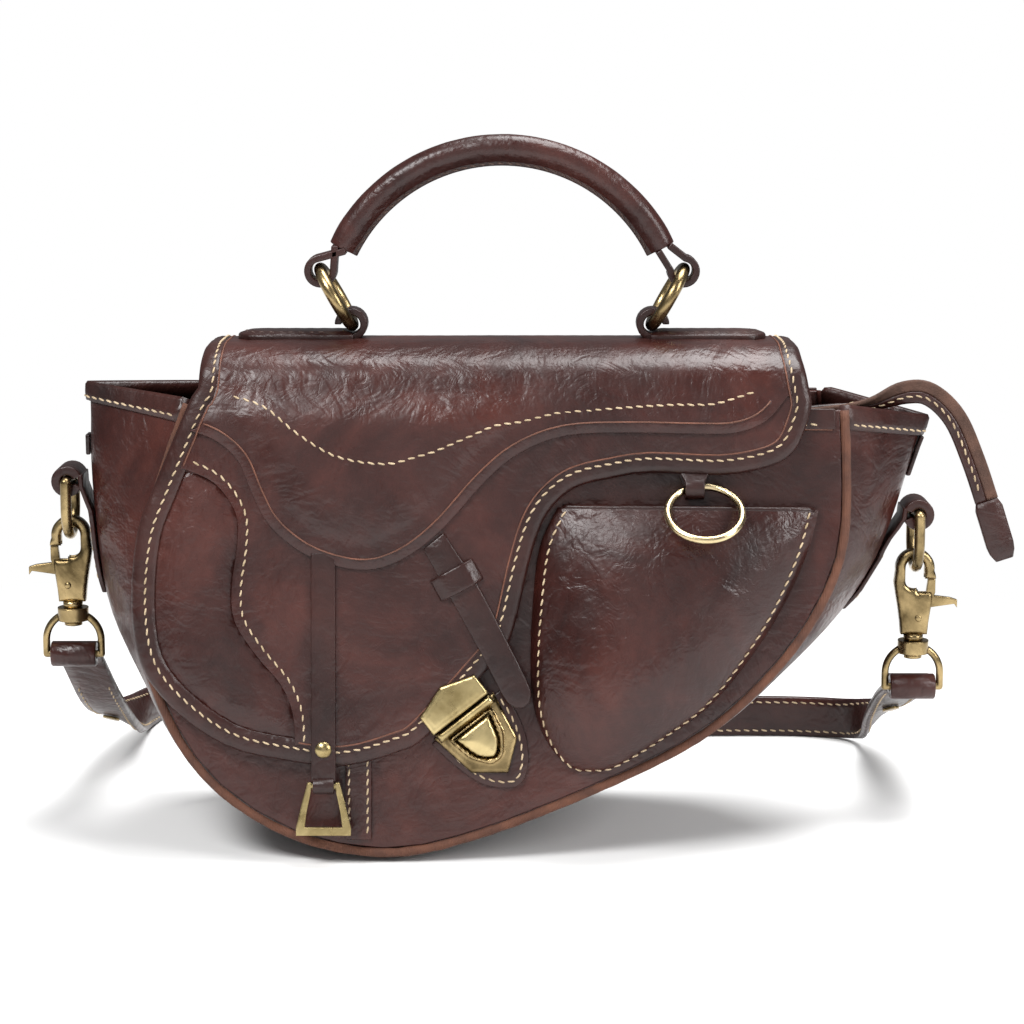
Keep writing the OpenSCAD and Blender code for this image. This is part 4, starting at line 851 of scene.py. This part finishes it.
def lock_height(u, v, d):
    """Border with a chamfer, then the raised case with a groove in its rim, then the pit."""
    if inside((u, v), button_loop) or edge_distance((u, v), button_loop) < 0.9:
        return LOCK_LOW + 0.2
    h = LOCK_LOW + PLATE_T - 0.7 * (1 - smooth(0, 0.9, d))
    if inside((u, v), case_loop):
        e = edge_distance((u, v), case_loop)
        h += CASE_T * smooth(0, 0.7, e) - 0.5 * math.exp(-((e - 1.35) / 0.35) ** 2)
    return h


plate("lock_body_metal", base_loop, LOCK_LOW, lock_height, at_lock, BRASS, step=0.55,
      nodes=["lock_body"])
BUTTON_TOP = LOCK_LOW + PLATE_T + CASE_T + 1.2
plate("lock_button_metal", button_loop, BUTTON_TOP - 3.8,
      lambda u, v, d: BUTTON_TOP - 0.65 + 0.65 * smooth(0, 4.5, d) - 0.45 * (
          1 - smooth(0, 0.6, d)), at_lock, BRIGHT, step=0.7, body="lock_button",
      nodes=["lock_button"])
bar = box_loop(-0.45 * LOCK_W, 0.45 * LOCK_W, 2 - 0.11 * LOCK_H, 2.9)
plate("lock_bar_metal", fine_loop(bar, 1), LOCK_LOW + 1.4,
      lambda u, v, d: LOCK_LOW + 3.4 + 1.5 * math.sqrt(smooth(0, 1.6, d)), at_lock, BRIGHT,
      step=0.6)
top_loop = lock_shape([(-0.46, 0.05), (-0.46, 0.36), (0, 0.52), (0.46, 0.36), (0.46, 0.05)])
plate("lock_top_metal", top_loop[::-1], SEAT_W,
      lambda u, v, d: SEAT_W + 0.9 + 0.7 * smooth(0, 0.8, d) - 0.25 * math.exp(
          -((d - 1.5) / 0.3) ** 2), at_lock, BRIGHT, step=0.7, body="flap",
      nodes=["lock_top_plate"])

# Key ring loop: leather bent round the ring, its two ends sewn on the panel
KEY_U, KEY_V, KEY_R, KEY_HALF_T = 0.22 * BODY_W, 129.6, 4.1165, 0.55
KEY_W, KEY_TOP, KEY_REAR = KEY_R + SEAM_GAP, 147, SEAM_GAP + 0.75


def key_section(v):
    return oblong(3.3 + 2.7 * smooth(KEY_V + 3.5, KEY_V + 6.5, v), KEY_HALF_T)


band("key_loop_leather", [(KEY_TOP, SEAM_GAP + 2.2), (KEY_V + 7, SEAM_GAP + 2.3)]
     + arc(KEY_V, KEY_W, KEY_R - KEY_HALF_T, 60, 270, 15)
     + [(KEY_V + 6, KEY_REAR), (KEY_TOP, KEY_REAR)], key_section,
     lambda x, v, w: on_front(KEY_U + x, v, w), DARK, nodes=["key_ring_loop"], bevel=0.35)
KEY_SEW, KEY_SEW_V = 4.5, KEY_V + 8
stitch_on("key_loop_stitches", [(KEY_U - KEY_SEW, KEY_SEW_V), (KEY_U + KEY_SEW, KEY_SEW_V)],
          SEAM_GAP + 3, on_front, pitch=3, length=2.2)


# Handle: tabs, rolled cover and its seam
def flat_top(x, y, w):
    return (x, y, FLAP_TOP + SEAM_GAP + w)


TAB_X, TAB_LEN, TAB_R = 53.0, 40, 9
LOOP_R, LOOP_BORE, LOOP_HALF, LOOP_HALF_T, END_HALF = 5.7686, 3.1686, 5.25, 1.2, 2.1
PIVOT_Z = FLAP_TOP + SEAM_GAP + LOOP_R
for s, f, name in SIDES:
    tip = [(f * x, y) for x, y in arc(TAB_LEN - TAB_R, 0, TAB_R, -90, 90, 12)]
    loop = [(-f, -TAB_R)] + tip + [(-f, TAB_R)]
    loop = even_loop(loop, 3)
    if f < 0:
        loop.reverse()
    cx = f * TAB_X
    plate("handle_tab_leather_" + name, [(cx + u, v) for u, v in loop], 0.02,
          lambda u, v, d: 2.4 + 1.2 * smooth(0, 3.5, d), flat_top, DARK, step=2.5,
          body="flap", nodes=["handle_tab_" + name], bevel=0.6)
    sew = [(cx + u, v) for u, v in inset(resample(loop, 2.5), 2.6)]
    stitch_on("handle_tab_stitches_" + name, sew[4:-4], 3.1, flat_top, "flap", r=0.3,
              mat=DARK_THREAD)
    round_band("handle_tab_loop_" + name, (LOOP_BORE + 0.1, LOOP_R), LOOP_HALF, -90, 225, 21,
               lambda y, a, b: (cx - f * b, y, PIVOT_Z + a), DARK, body="flap",
               bevel=SOFT_EDGE, turn=f < 0)

# The cover is drawn down to its seam along the arch's inner side
ARCH_RISE, END_RISE, HANDLE_D = 43, 8, 9
UPPER, COVER_SHARE, COVER_SINK, COVER_WIDE = (63.5442, 200.555), 0.89, 1.6, 1.06
arch_x, arch_sag = UPPER[0] * COVER_SHARE, ARCH_RISE - END_RISE
arch_r = (arch_x ** 2 + arch_sag ** 2) / (2 * arch_sag)
arch_z = UPPER[1] + ARCH_RISE - arch_r
arch_half = math.degrees(math.asin(arch_x / arch_r))
ARCH = arc(0, arch_z, arch_r, 90 + arch_half, 90 - arch_half, 60)
rows = []
for i, p in enumerate(ARCH):
    n = left_of(ARCH, i)
    edge = max(0, 1 - min(i, len(ARCH) - 1 - i) / 2)
    r = HANDLE_D / 2 * (1 + 0.02 * ripple(p[0], p[1], 0, 0.2)) * (1 - 0.06 * edge)
    ring = []
    for c, s in circle(1, 24):
        rise = r * s - COVER_SINK * max(0, -s) ** 10
        ring.append((p[0] + n[0] * rise, r * c * COVER_WIDE, p[1] + n[1] * rise))
    rows.append(ring)
grid("handle_leather", rows, BROWN, body="handle", bevel=0.4,
     nodes=["handle_cover", "handle_core"])
SEAM_LIP = [(0.05, -3.6), (1.9, -3.6), (1.55, -6.1), (1.1, -6.45), (0.05, -6.45)]
for f, side in ((-1, "front"), (1, "back")):
    band("handle_seam_" + side, ARCH, SEAM_LIP, lambda y, a, b: (a, f * y, b), DARK,
         body="handle", bevel=0.25, turn=f < 0)
    stitches("handle_stitches_" + side, [(a, f * 1.62, b) for a, b in inset(ARCH, -5.6)],
             [(0, f, 0)] * len(ARCH), body="handle", pitch=3.2, r=0.34, mat=DARK_THREAD)
for s, f, name in SIDES:
    n = left_of(ARCH, 0 if f < 0 else len(ARCH) - 1)
    end_x, end_z = ARCH[0 if f < 0 else -1]
    face = math.degrees(math.atan2(end_z - UPPER[1], end_x - f * UPPER[0]))
    ends = [(end_x + n[0] * d, end_z + n[1] * d) for d in (f * END_HALF, -f * END_HALF)]
    turn_round = arc(f * UPPER[0], UPPER[1], (LOOP_BORE + LOOP_R) / 2 + 0.05,
                     face - f * 50, face - f * 314, 22)
    band("handle_end_loop_" + name, ends[:1] + turn_round + ends[1:],
         oblong(LOOP_HALF, LOOP_HALF_T), lambda y, a, b: (a, y, b), DARK, body="handle",
         bevel=SOFT_EDGE, turn=f > 0)

# Side tabs with their D-ring loops
D_LOOP_Z, TAB_LOW, D_LOOP_R, D_STAND, D_DROP = (126.5, 114.5), (86, 80), 5.5, 3, 19.7
TAB_THICK, TAB_HALF, TAB_SEW, D_BORE = 1.6, 7.9, 5.4, 2.3
half_n = len(SEAM) // 2
RIDGE = [sorted((z, abs(x)) for x, y, z in [gusset_row(i, 0)[2] for i in part])
         for part in (range(0, half_n + 1), range(half_n, len(SEAM)))]


def ridge_x(s, z):
    """How far the gusset stands out on the left (s 0) or right (s 1) at the height z."""
    t = RIDGE[s]
    for (z0, x0), (z1, x1) in zip(t, t[1:]):
        if z0 <= z <= z1:
            return x0 + (x1 - x0) * (z - z0) / ((z1 - z0) or 1)
    return t[-1][1] if z > t[-1][0] else t[0][1]


D_X = [f * (ridge_x(s, D_LOOP_Z[s]) + GAP + D_LOOP_R + D_STAND) for s, f, name in SIDES]
for s, f, name in SIDES:
    loop_z, low_z = D_LOOP_Z[s], TAB_LOW[s]
    rows = []
    for k in range(11):
        z = low_z + (loop_z + 2.5 - low_z) * k / 10
        half = TAB_HALF * min(1, 0.5 + 0.3 * k)
        x = ridge_x(s, min(z, loop_z)) + GAP + D_STAND * smooth(loop_z - 12, loop_z, z)
        rows.append([(f * (x + o), y, z) for y, o in (
            (-half, 0), (half, 0), (half, TAB_THICK), (0, TAB_THICK + 0.25),
            (-half, TAB_THICK))])
    grid("side_tab_leather_" + name, rows, DARK, nodes=["side_tab_" + name], bevel=0.4,
         turn=f > 0)
    round_band("d_ring_loop_" + name, (D_BORE, D_LOOP_R), TAB_HALF, 200, 520, 22,
               lambda y, a, b: (D_X[s] + f * a, y, loop_z + b), DARK, bevel=SOFT_EDGE,
               turn=f < 0)
    zs = [low_z + (loop_z - 9 - low_z) * k / 8 for k in range(1, 9)]
    for g in (-1, 1):
        stitches("side_tab_stitches_%s_%d" % (name, g + 1),
                 [(f * (ridge_x(s, z) + GAP + TAB_THICK + 0.1), g * TAB_SEW, z) for z in zs],
                 [(f, 0, 0)] * len(zs), pitch=3.3, length=2.3)

# Corner tabs, the left one on the wing that sags
CORNER_Z, CORNER_HALF, CORNER_T = ((140, 151), (128, 142)), 3.5, 1.6
for s, f, name in SIDES:
    rows = []
    for k in range(5):
        z = CORNER_Z[s][0] + (CORNER_Z[s][1] - CORNER_Z[s][0]) * k / 4
        drop = 0 if s else LEFT_SAG * (z / BODY_H) ** 8
        rows.append([(f * (ridge_x(s, z) + GAP + CORNER_T / 2 + o), y, z - drop)
                     for y, o in oblong(CORNER_HALF, CORNER_T / 2)])
    grid("corner_tab_" + name, rows, DARK, bevel=SOFT_EDGE, turn=f > 0,
         nodes=[] if s else ["corner_tabs"])

# Shoulder strap
STRAP_W, STRAP_T, BOW_R, SWIVEL_DROP = 16, 3, 1.3, 43.9
ROLL_R = BOW_R + GAP + STRAP_T
ROLL_Z = [D_LOOP_Z[s] - D_DROP - SWIVEL_DROP for s in (0, 1)]
LOW = 0.16
SPREAD, REACH, HEIGHT = 148, 198, STRAP_W / 2 / LOW
# Down behind the bag from the right, laid on its edge in loops on the floor, up to the left
DOWN = [(1, 0.2, 0.78, 0), (1, 0.38, 0.5, 20), (0.99, 0.53, 0.28, 62), (0.95, 0.625, 0.18, 90)]
LAID = [(0.86, 0.662), (0.71, 0.672), (0.4, 0.667), (0, 0.672), (-0.35, 0.677), (-0.52, 0.69),
        (-0.6, 0.76), (-0.52, 0.828), (-0.35, 0.838), (0, 0.838), (0.3, 0.846), (0.4, 0.922),
        (0.3, 1), (0, 1), (-0.4, 1), (-0.74, 0.98), (-0.92, 0.9)]
RISE = [(-0.985, 0.76, 0.165, 88), (-1.005, 0.6, 0.24, 60), (-1.013, 0.4, 0.42, 20),
        (-1.015, 0.2, 0.74, 0)]
STRAP = [(a * SPREAD, b * REACH, c * HEIGHT + SEAM_GAP, turn)
         for a, b, c, turn in DOWN + [(a, b, LOW, 90) for a, b in LAID] + RISE]


def strap_end(s):
    return [(D_X[s], y, ROLL_Z[s] - ROLL_R + z, 0)
            for y, z in ((0, STRAP_T / 2), (STRAP_W * 0.8, STRAP_T * 0.4))]


STRAP = curve(strap_end(1) + STRAP + strap_end(0)[::-1], 5)


def strip_frame(path, i):
    """Directions across and off a band whose points hold x, y, z and its turn in degrees."""
    a, b = Vector(path[max(i - 1, 0)][:3]), Vector(path[min(i + 1, len(path) - 1)][:3])
    t = (b - a).normalized()
    level = t.cross(Vector((0, 0, 1))).normalized()
    turn = math.radians(path[i][3])
    across = level * math.cos(turn) + level.cross(t) * math.sin(turn)
    return across, t.cross(across)


def strip(name, path, width, thick, mat, edge=0.45, **kw):
    """A band along the path; its width and shift to one side may change along it."""
    rows = []
    for i, p in enumerate(path):
        w, n = strip_frame(path, i)
        wide, shift = rule(width)(i)
        c = Vector(p[:3]) + w * shift
        hw, ht = wide / 2, thick / 2
        upper = [(hw, ht - edge), (hw - edge, ht), (hw * 0.5, ht), (0, ht), (-hw * 0.5, ht),
                 (-hw + edge, ht), (-hw, ht - edge)]
        ring = [c + w * a + n * b for a, b in [(a, -b) for a, b in upper[::-1]] + upper]
        rows.append([(q.x, q.y, max(q.z, 0.02)) for q in ring])
    return grid(name, rows, mat, turn=True, **kw)


def strip_line(path, span, across, off):
    """Points and directions of a row of stitches on a band, across and off its middle."""
    points, up = [], []
    for i in span:
        w, n = strip_frame(path, i)
        points.append(tuple(Vector(path[i][:3]) + w * rule(across)(i) + n * off))
        up.append(n * math.copysign(1, off))
    return points, up


strip("shoulder_strap_leather", STRAP, (STRAP_W, 0), STRAP_T, BROWN, nodes=["shoulder_strap"])
for g in (-1, 1):
    for face in (-1, 1):
        stitches("strap_stitches_%d_%d" % (g + 1, face + 1),
                 *strip_line(STRAP, range(8, len(STRAP) - 8), g * (STRAP_W / 2 - SEW_IN),
                             face * STRAP_T / 2), pitch=3.6)
# Ends folded round the swivels' bows
roll_mid, edge = ROLL_R - STRAP_T / 2, 0.4
fold = ([(14, STRAP_T + GAP - roll_mid), (7, STRAP_T + 2 * GAP - roll_mid)]
        + arc(0, 0, roll_mid, 50, 254, 17) + [(0, -roll_mid), (3, -roll_mid)])
half, ht = STRAP_W / 2, STRAP_T / 2
fold_section = [(edge - half, -ht), (half - edge, -ht), (half, edge - ht), (half, ht - edge),
                (half - edge, ht), (edge - half, ht), (-half, ht - edge), (-half, edge - ht)]
for s, f, name in SIDES:
    band("strap_fold_" + name, fold, fold_section, lambda x, a, b: (D_X[s] + x, a, ROLL_Z[s] + b),
         BROWN)

# Zip: tapes, chain of teeth, tail and its leather tab
ZIP_Z, ZIP_HALF, ZIP_T, TOOTH_PITCH, TOOTH, TOOTH_LONG = 148, 100, 0.8, 3, 0.9, 2.3
zip_y = -front_y(ZIP_Z / math.cos(LEAN), -PANEL_T) - SEAM_GAP
for f, name in ((-1, "front"), (1, "back")):
    y0, y1 = sorted((f * 0.55, f * zip_y))
    rows = [[(x, y, z) for y, z in box_loop(y0, y1, ZIP_Z, ZIP_Z + ZIP_T)]
            for x in range(-ZIP_HALF, ZIP_HALF + 1, 8)]
    grid("zip_tape_cloth_" + name, rows, TAPE, nodes=["zip_tape_" + name])
teeth_v, teeth_f = [], []
for k in range(int(2 * ZIP_HALF / TOOTH_PITCH)):
    x = -ZIP_HALF + TOOTH_PITCH * (k + 0.5)
    f = -1 if k % 2 else 1
    b = len(teeth_v)
    for dx in (-TOOTH, TOOTH):
        teeth_v += [(x + dx, f * y, ZIP_Z + ZIP_T / 2 + z)
                    for y, z in box_loop(-TOOTH, TOOTH_LONG, -TOOTH, TOOTH)]
    teeth_f += [(b, b + 1, b + 2, b + 3), (b + 7, b + 6, b + 5, b + 4)]
    teeth_f += [(b + i, b + (i + 1) % 4, b + 4 + (i + 1) % 4, b + 4 + i) for i in range(4)]
piece("zip_teeth", teeth_v, teeth_f, BRASS)
TAIL_Z = 155
TAIL = curve([(ZIP_HALF + GAP, 0, ZIP_Z + 2.2, 0)] + [
    (a * BODY_W / 2, 0, b * TAIL_Z, c) for a, b, c in (
        (0.78, 0.98, 0), (0.87, 0.99, 40), (0.95, 1.015, 90), (1.01, 1.01, 90),
        (1.07, 0.955, 90), (1.115, 0.86, 90), (1.15, 0.765, 90))], 6)


def tail_wide(i):
    return 5 + 3.4 * smooth(0.12, 0.5, i / (len(TAIL) - 1))


strip("zip_tail_cloth", TAIL, lambda i: (tail_wide(i) / 2, tail_wide(i) / 4), 1.8, TAPE,
      nodes=["zip_tail"])
strip("zip_tail_leather", TAIL, lambda i: (tail_wide(i) / 2, -tail_wide(i) / 4), 2.4, DARK)
for f in (-1, 1):
    stitches("zip_tail_stitches_%d" % (f + 1), *strip_line(
        TAIL, range(8, len(TAIL) - 2), lambda i: -0.2 * tail_wide(i), f * 1.2), pitch=3.4)
end, lean = Vector(TAIL[-1][:3]), math.radians(18)
along = Vector((math.sin(lean), 0, -math.cos(lean)))
level = Vector((math.cos(lean), 0, math.sin(lean)))
rows = []
for k in range(9):
    half = 4.9 * (1 - 0.35 * max(0, (k - 6) / 2) ** 2) * (1 if k else 0.8)
    c = end + along * (0.15 + 22 * k / 8)
    rows.append([tuple(c + level * x + Vector((0, y, 0))) for x, y in (
        (-half, -1.1), (-half + 0.5, -1.5), (half - 0.5, -1.5), (half, -1.1), (half, 1.1),
        (half - 0.5, 1.5), (-half + 0.5, 1.5), (-half, 1.1))])
grid("zip_tail_leather_tab", rows, DARK, nodes=["zip_tail_tab"])


# Snap hooks: two rounded cheeks and the web between them, with pin and shank
def lathe(name, profile, place, mat, **kw):
    """A turned piece; profile lists radius and place along the axis."""
    rows = [[place(x, y, h) for x, y in circle(r, 24)] for r, h in profile]
    return grid(name, rows, mat, **kw)


EYE_TOP, EYE_LOW, EYE_R, WEB_HALF, PIN_X, PIN_Z = -0.395, -4.795, 3.5, 1.3, 1.3, -18.5
OVER_TOP = arc(0, EYE_LOW + 0.4, 7.5, 4, 24.2, 3)[:-1] + arc(0, EYE_TOP, 6.9, -7.66, 187.66, 26)
LEFT_FLANK = [(-7.35, -5.8), (-7.05, -8), (-6.5, -11), (-5.8, -15), (-5.1, -20), (-4.7, -24.5)]
HOLE = arc(0, EYE_TOP, EYE_R, 180, 0, 14)
cheek_loop = ([(7.5, -4.2)] + OVER_TOP + LEFT_FLANK + [(4.7, -24.5), (5.1, -20), (5.8, -15),
              (6.3, -11), (6.1, -9.4), (1.1, -9.4), (1.1, -8.12)]
              + arc(0, EYE_LOW, EYE_R, -80, -180, 8) + HOLE + [(EYE_R, -4.2)])
web_loop = ([(7.2, -2.6)] + OVER_TOP[1:] + LEFT_FLANK + [(4.7, -24.5), (4.9, -21.5),
            (-2.8, -21.5), (-2.8, -6.9)] + arc(0, EYE_LOW, EYE_R, -150, -180, 3) + HOLE
            + [(EYE_R, -2.6)])
PIN = [(0.7, -2.95), (1.2, -2.75), (1.2, 2.75), (0.7, 2.95)]
SHANK = [(1.6, -33.6), (3.2, -33.2), (3.2, -31.9), (2.9, -31.8), (2, -31.8), (2, -26.72),
         (3.2, -26.72), (3.5, -26.4), (3.5, -24.6), (2, -24.3)]


def cheek_height(u, v, d):
    return 2.5 - 1.05 * (1 - smooth(-0.6, 1.5, d)) ** 1.2


for s, f, name in SIDES:
    def at_snap(u, v, w):
        return (D_X[s] + f * u, -w, D_LOOP_Z[s] - D_DROP + v)

    flip = dict(body="hook_" + name, turn=f < 0)
    plate("hook_cheek_front_" + name, fine_loop(cheek_loop, 0.8), WEB_HALF, cheek_height,
          at_snap, BRASS, step=0.8, nodes=["hook_" + name], **flip)
    plate("hook_cheek_back_" + name, fine_loop(cheek_loop, 0.8),
          lambda u, v, d: -cheek_height(u, v, d), -WEB_HALF, at_snap, BRASS, step=0.8, **flip)
    plate("hook_web_" + name, fine_loop(web_loop, 1), -WEB_HALF - 0.05, WEB_HALF + 0.05,
          at_snap, BRASS, step=1.2, **flip)
    lathe("hook_pin_" + name, PIN, lambda a, b, h: at_snap(PIN_X + a, PIN_Z + b, h), BRASS,
          **flip)
    lathe("hook_shank_" + name, SHANK, lambda a, b, h: at_snap(a, h, -b), BRASS,
          body="hook_" + name, turn=f > 0)

# Metal nodes keep their CAD shape and take their finish
FINISH = {BRIGHT: ["stirrup_rivet", "stirrup"], GOLD: ["key_ring"],
          BRASS: ["strap_rivets", "zip_slider", "zip_pull"] + [
              part + side for part in ("handle_ring", "d_ring", "trigger", "swivel")
              for side in ("_left", "_right")]}
for mat, names in FINISH.items():
    for name in names:
        me = NODES[name].data
        for i in range(len(me.materials)):
            me.materials[i] = mat
        if not me.materials:
            me.materials.append(mat)

# Stage, light and camera
scene = bpy.context.scene
scene.view_settings.view_transform = "Standard"


def place_object(name, data, spot=(0, 0, 0)):
    o = bpy.data.objects.new(name, data)
    o.location = spot
    scene.collection.objects.link(o)
    return o


# Camera rays see the paper run out to white away from the bag
floor_mat, nt, bsdf = node_tree("paper_floor")
feed(nt, bsdf, Roughness=0.9, Base_Color=ramp(nt, noise_of(nt, 3, 2), [
    (0.3, (0.84, 0.84, 0.835)), (0.7, (0.86, 0.86, 0.855))]))
far = add(nt, "ShaderNodeVectorMath", coords(nt), operation="LENGTH")
fade = add(nt, "ShaderNodeMapRange", interpolation_type="SMOOTHSTEP", From_Min=0.2,
           From_Max=0.5, Value=far.outputs["Value"])
seen = add(nt, "ShaderNodeLightPath").outputs["Is Camera Ray"]
both = add(nt, "ShaderNodeMath", fade.outputs["Result"], seen, operation="MULTIPLY")
glow = add(nt, "ShaderNodeEmission")
mix = add(nt, "ShaderNodeMixShader", both.outputs[0], bsdf.outputs[0], glow.outputs[0])
feed(nt, nt.nodes["Material Output"], Surface=mix.outputs[0])
FLOOR_HALF = 8
me = bpy.data.meshes.new("floor")
me.from_pydata([(x, y, 0) for x, y in box_loop(-FLOOR_HALF, FLOOR_HALF, -FLOOR_HALF, FLOOR_HALF)],
               [], [(0, 1, 2, 3)])
me.materials.append(floor_mat)
place_object("floor", me, (0, 0, -0.0002))

world = bpy.data.worlds.new("studio")
scene.world = world
world.use_nodes = True
nt = world.node_tree
dim = nt.nodes["Background"]
feed(nt, dim, Color=(0.95, 0.97, 1, 1), Strength=0.19)
white = add(nt, "ShaderNodeBackground", Color=(1, 1, 1, 1), Strength=1.0)
seen = add(nt, "ShaderNodeLightPath").outputs["Is Camera Ray"]
mix = add(nt, "ShaderNodeMixShader", seen, dim.outputs[0], white.outputs[0])
feed(nt, nt.nodes["World Output"], Surface=mix.outputs[0])


def area(name, spot, size, watts, target=(0.04, 0, 0.08)):
    light = bpy.data.lights.new(name, "AREA")
    light.shape, light.size, light.size_y, light.energy = "RECTANGLE", *size, watts
    towards = Vector(target) - Vector(spot)
    place_object(name, light, spot).rotation_euler = towards.to_track_quat("-Z", "Y").to_euler()


area("key_light", (-0.55, -0.75, 1.1), (0.6, 0.45), 18.5)
area("top_light", (0.3, 0.15, 1.3), (0.9, 0.7), 24)
area("right_light", (1.0, -0.6, 0.6), (0.35, 0.6), 9)
area("front_fill", (0.1, -1.6, 0.5), (1.2, 0.8), 2.6, (0.04, 0, 0.1))

lens = bpy.data.cameras.new("camera")
lens.lens, lens.sensor_width, lens.clip_end = 100, 36, 50
scene.camera = place_object("camera", lens, (0.0035 + FOOT_X / 1000, -1.0, 0.28))
scene.camera.rotation_euler = (math.radians(90 - 9.4), 0, 0)
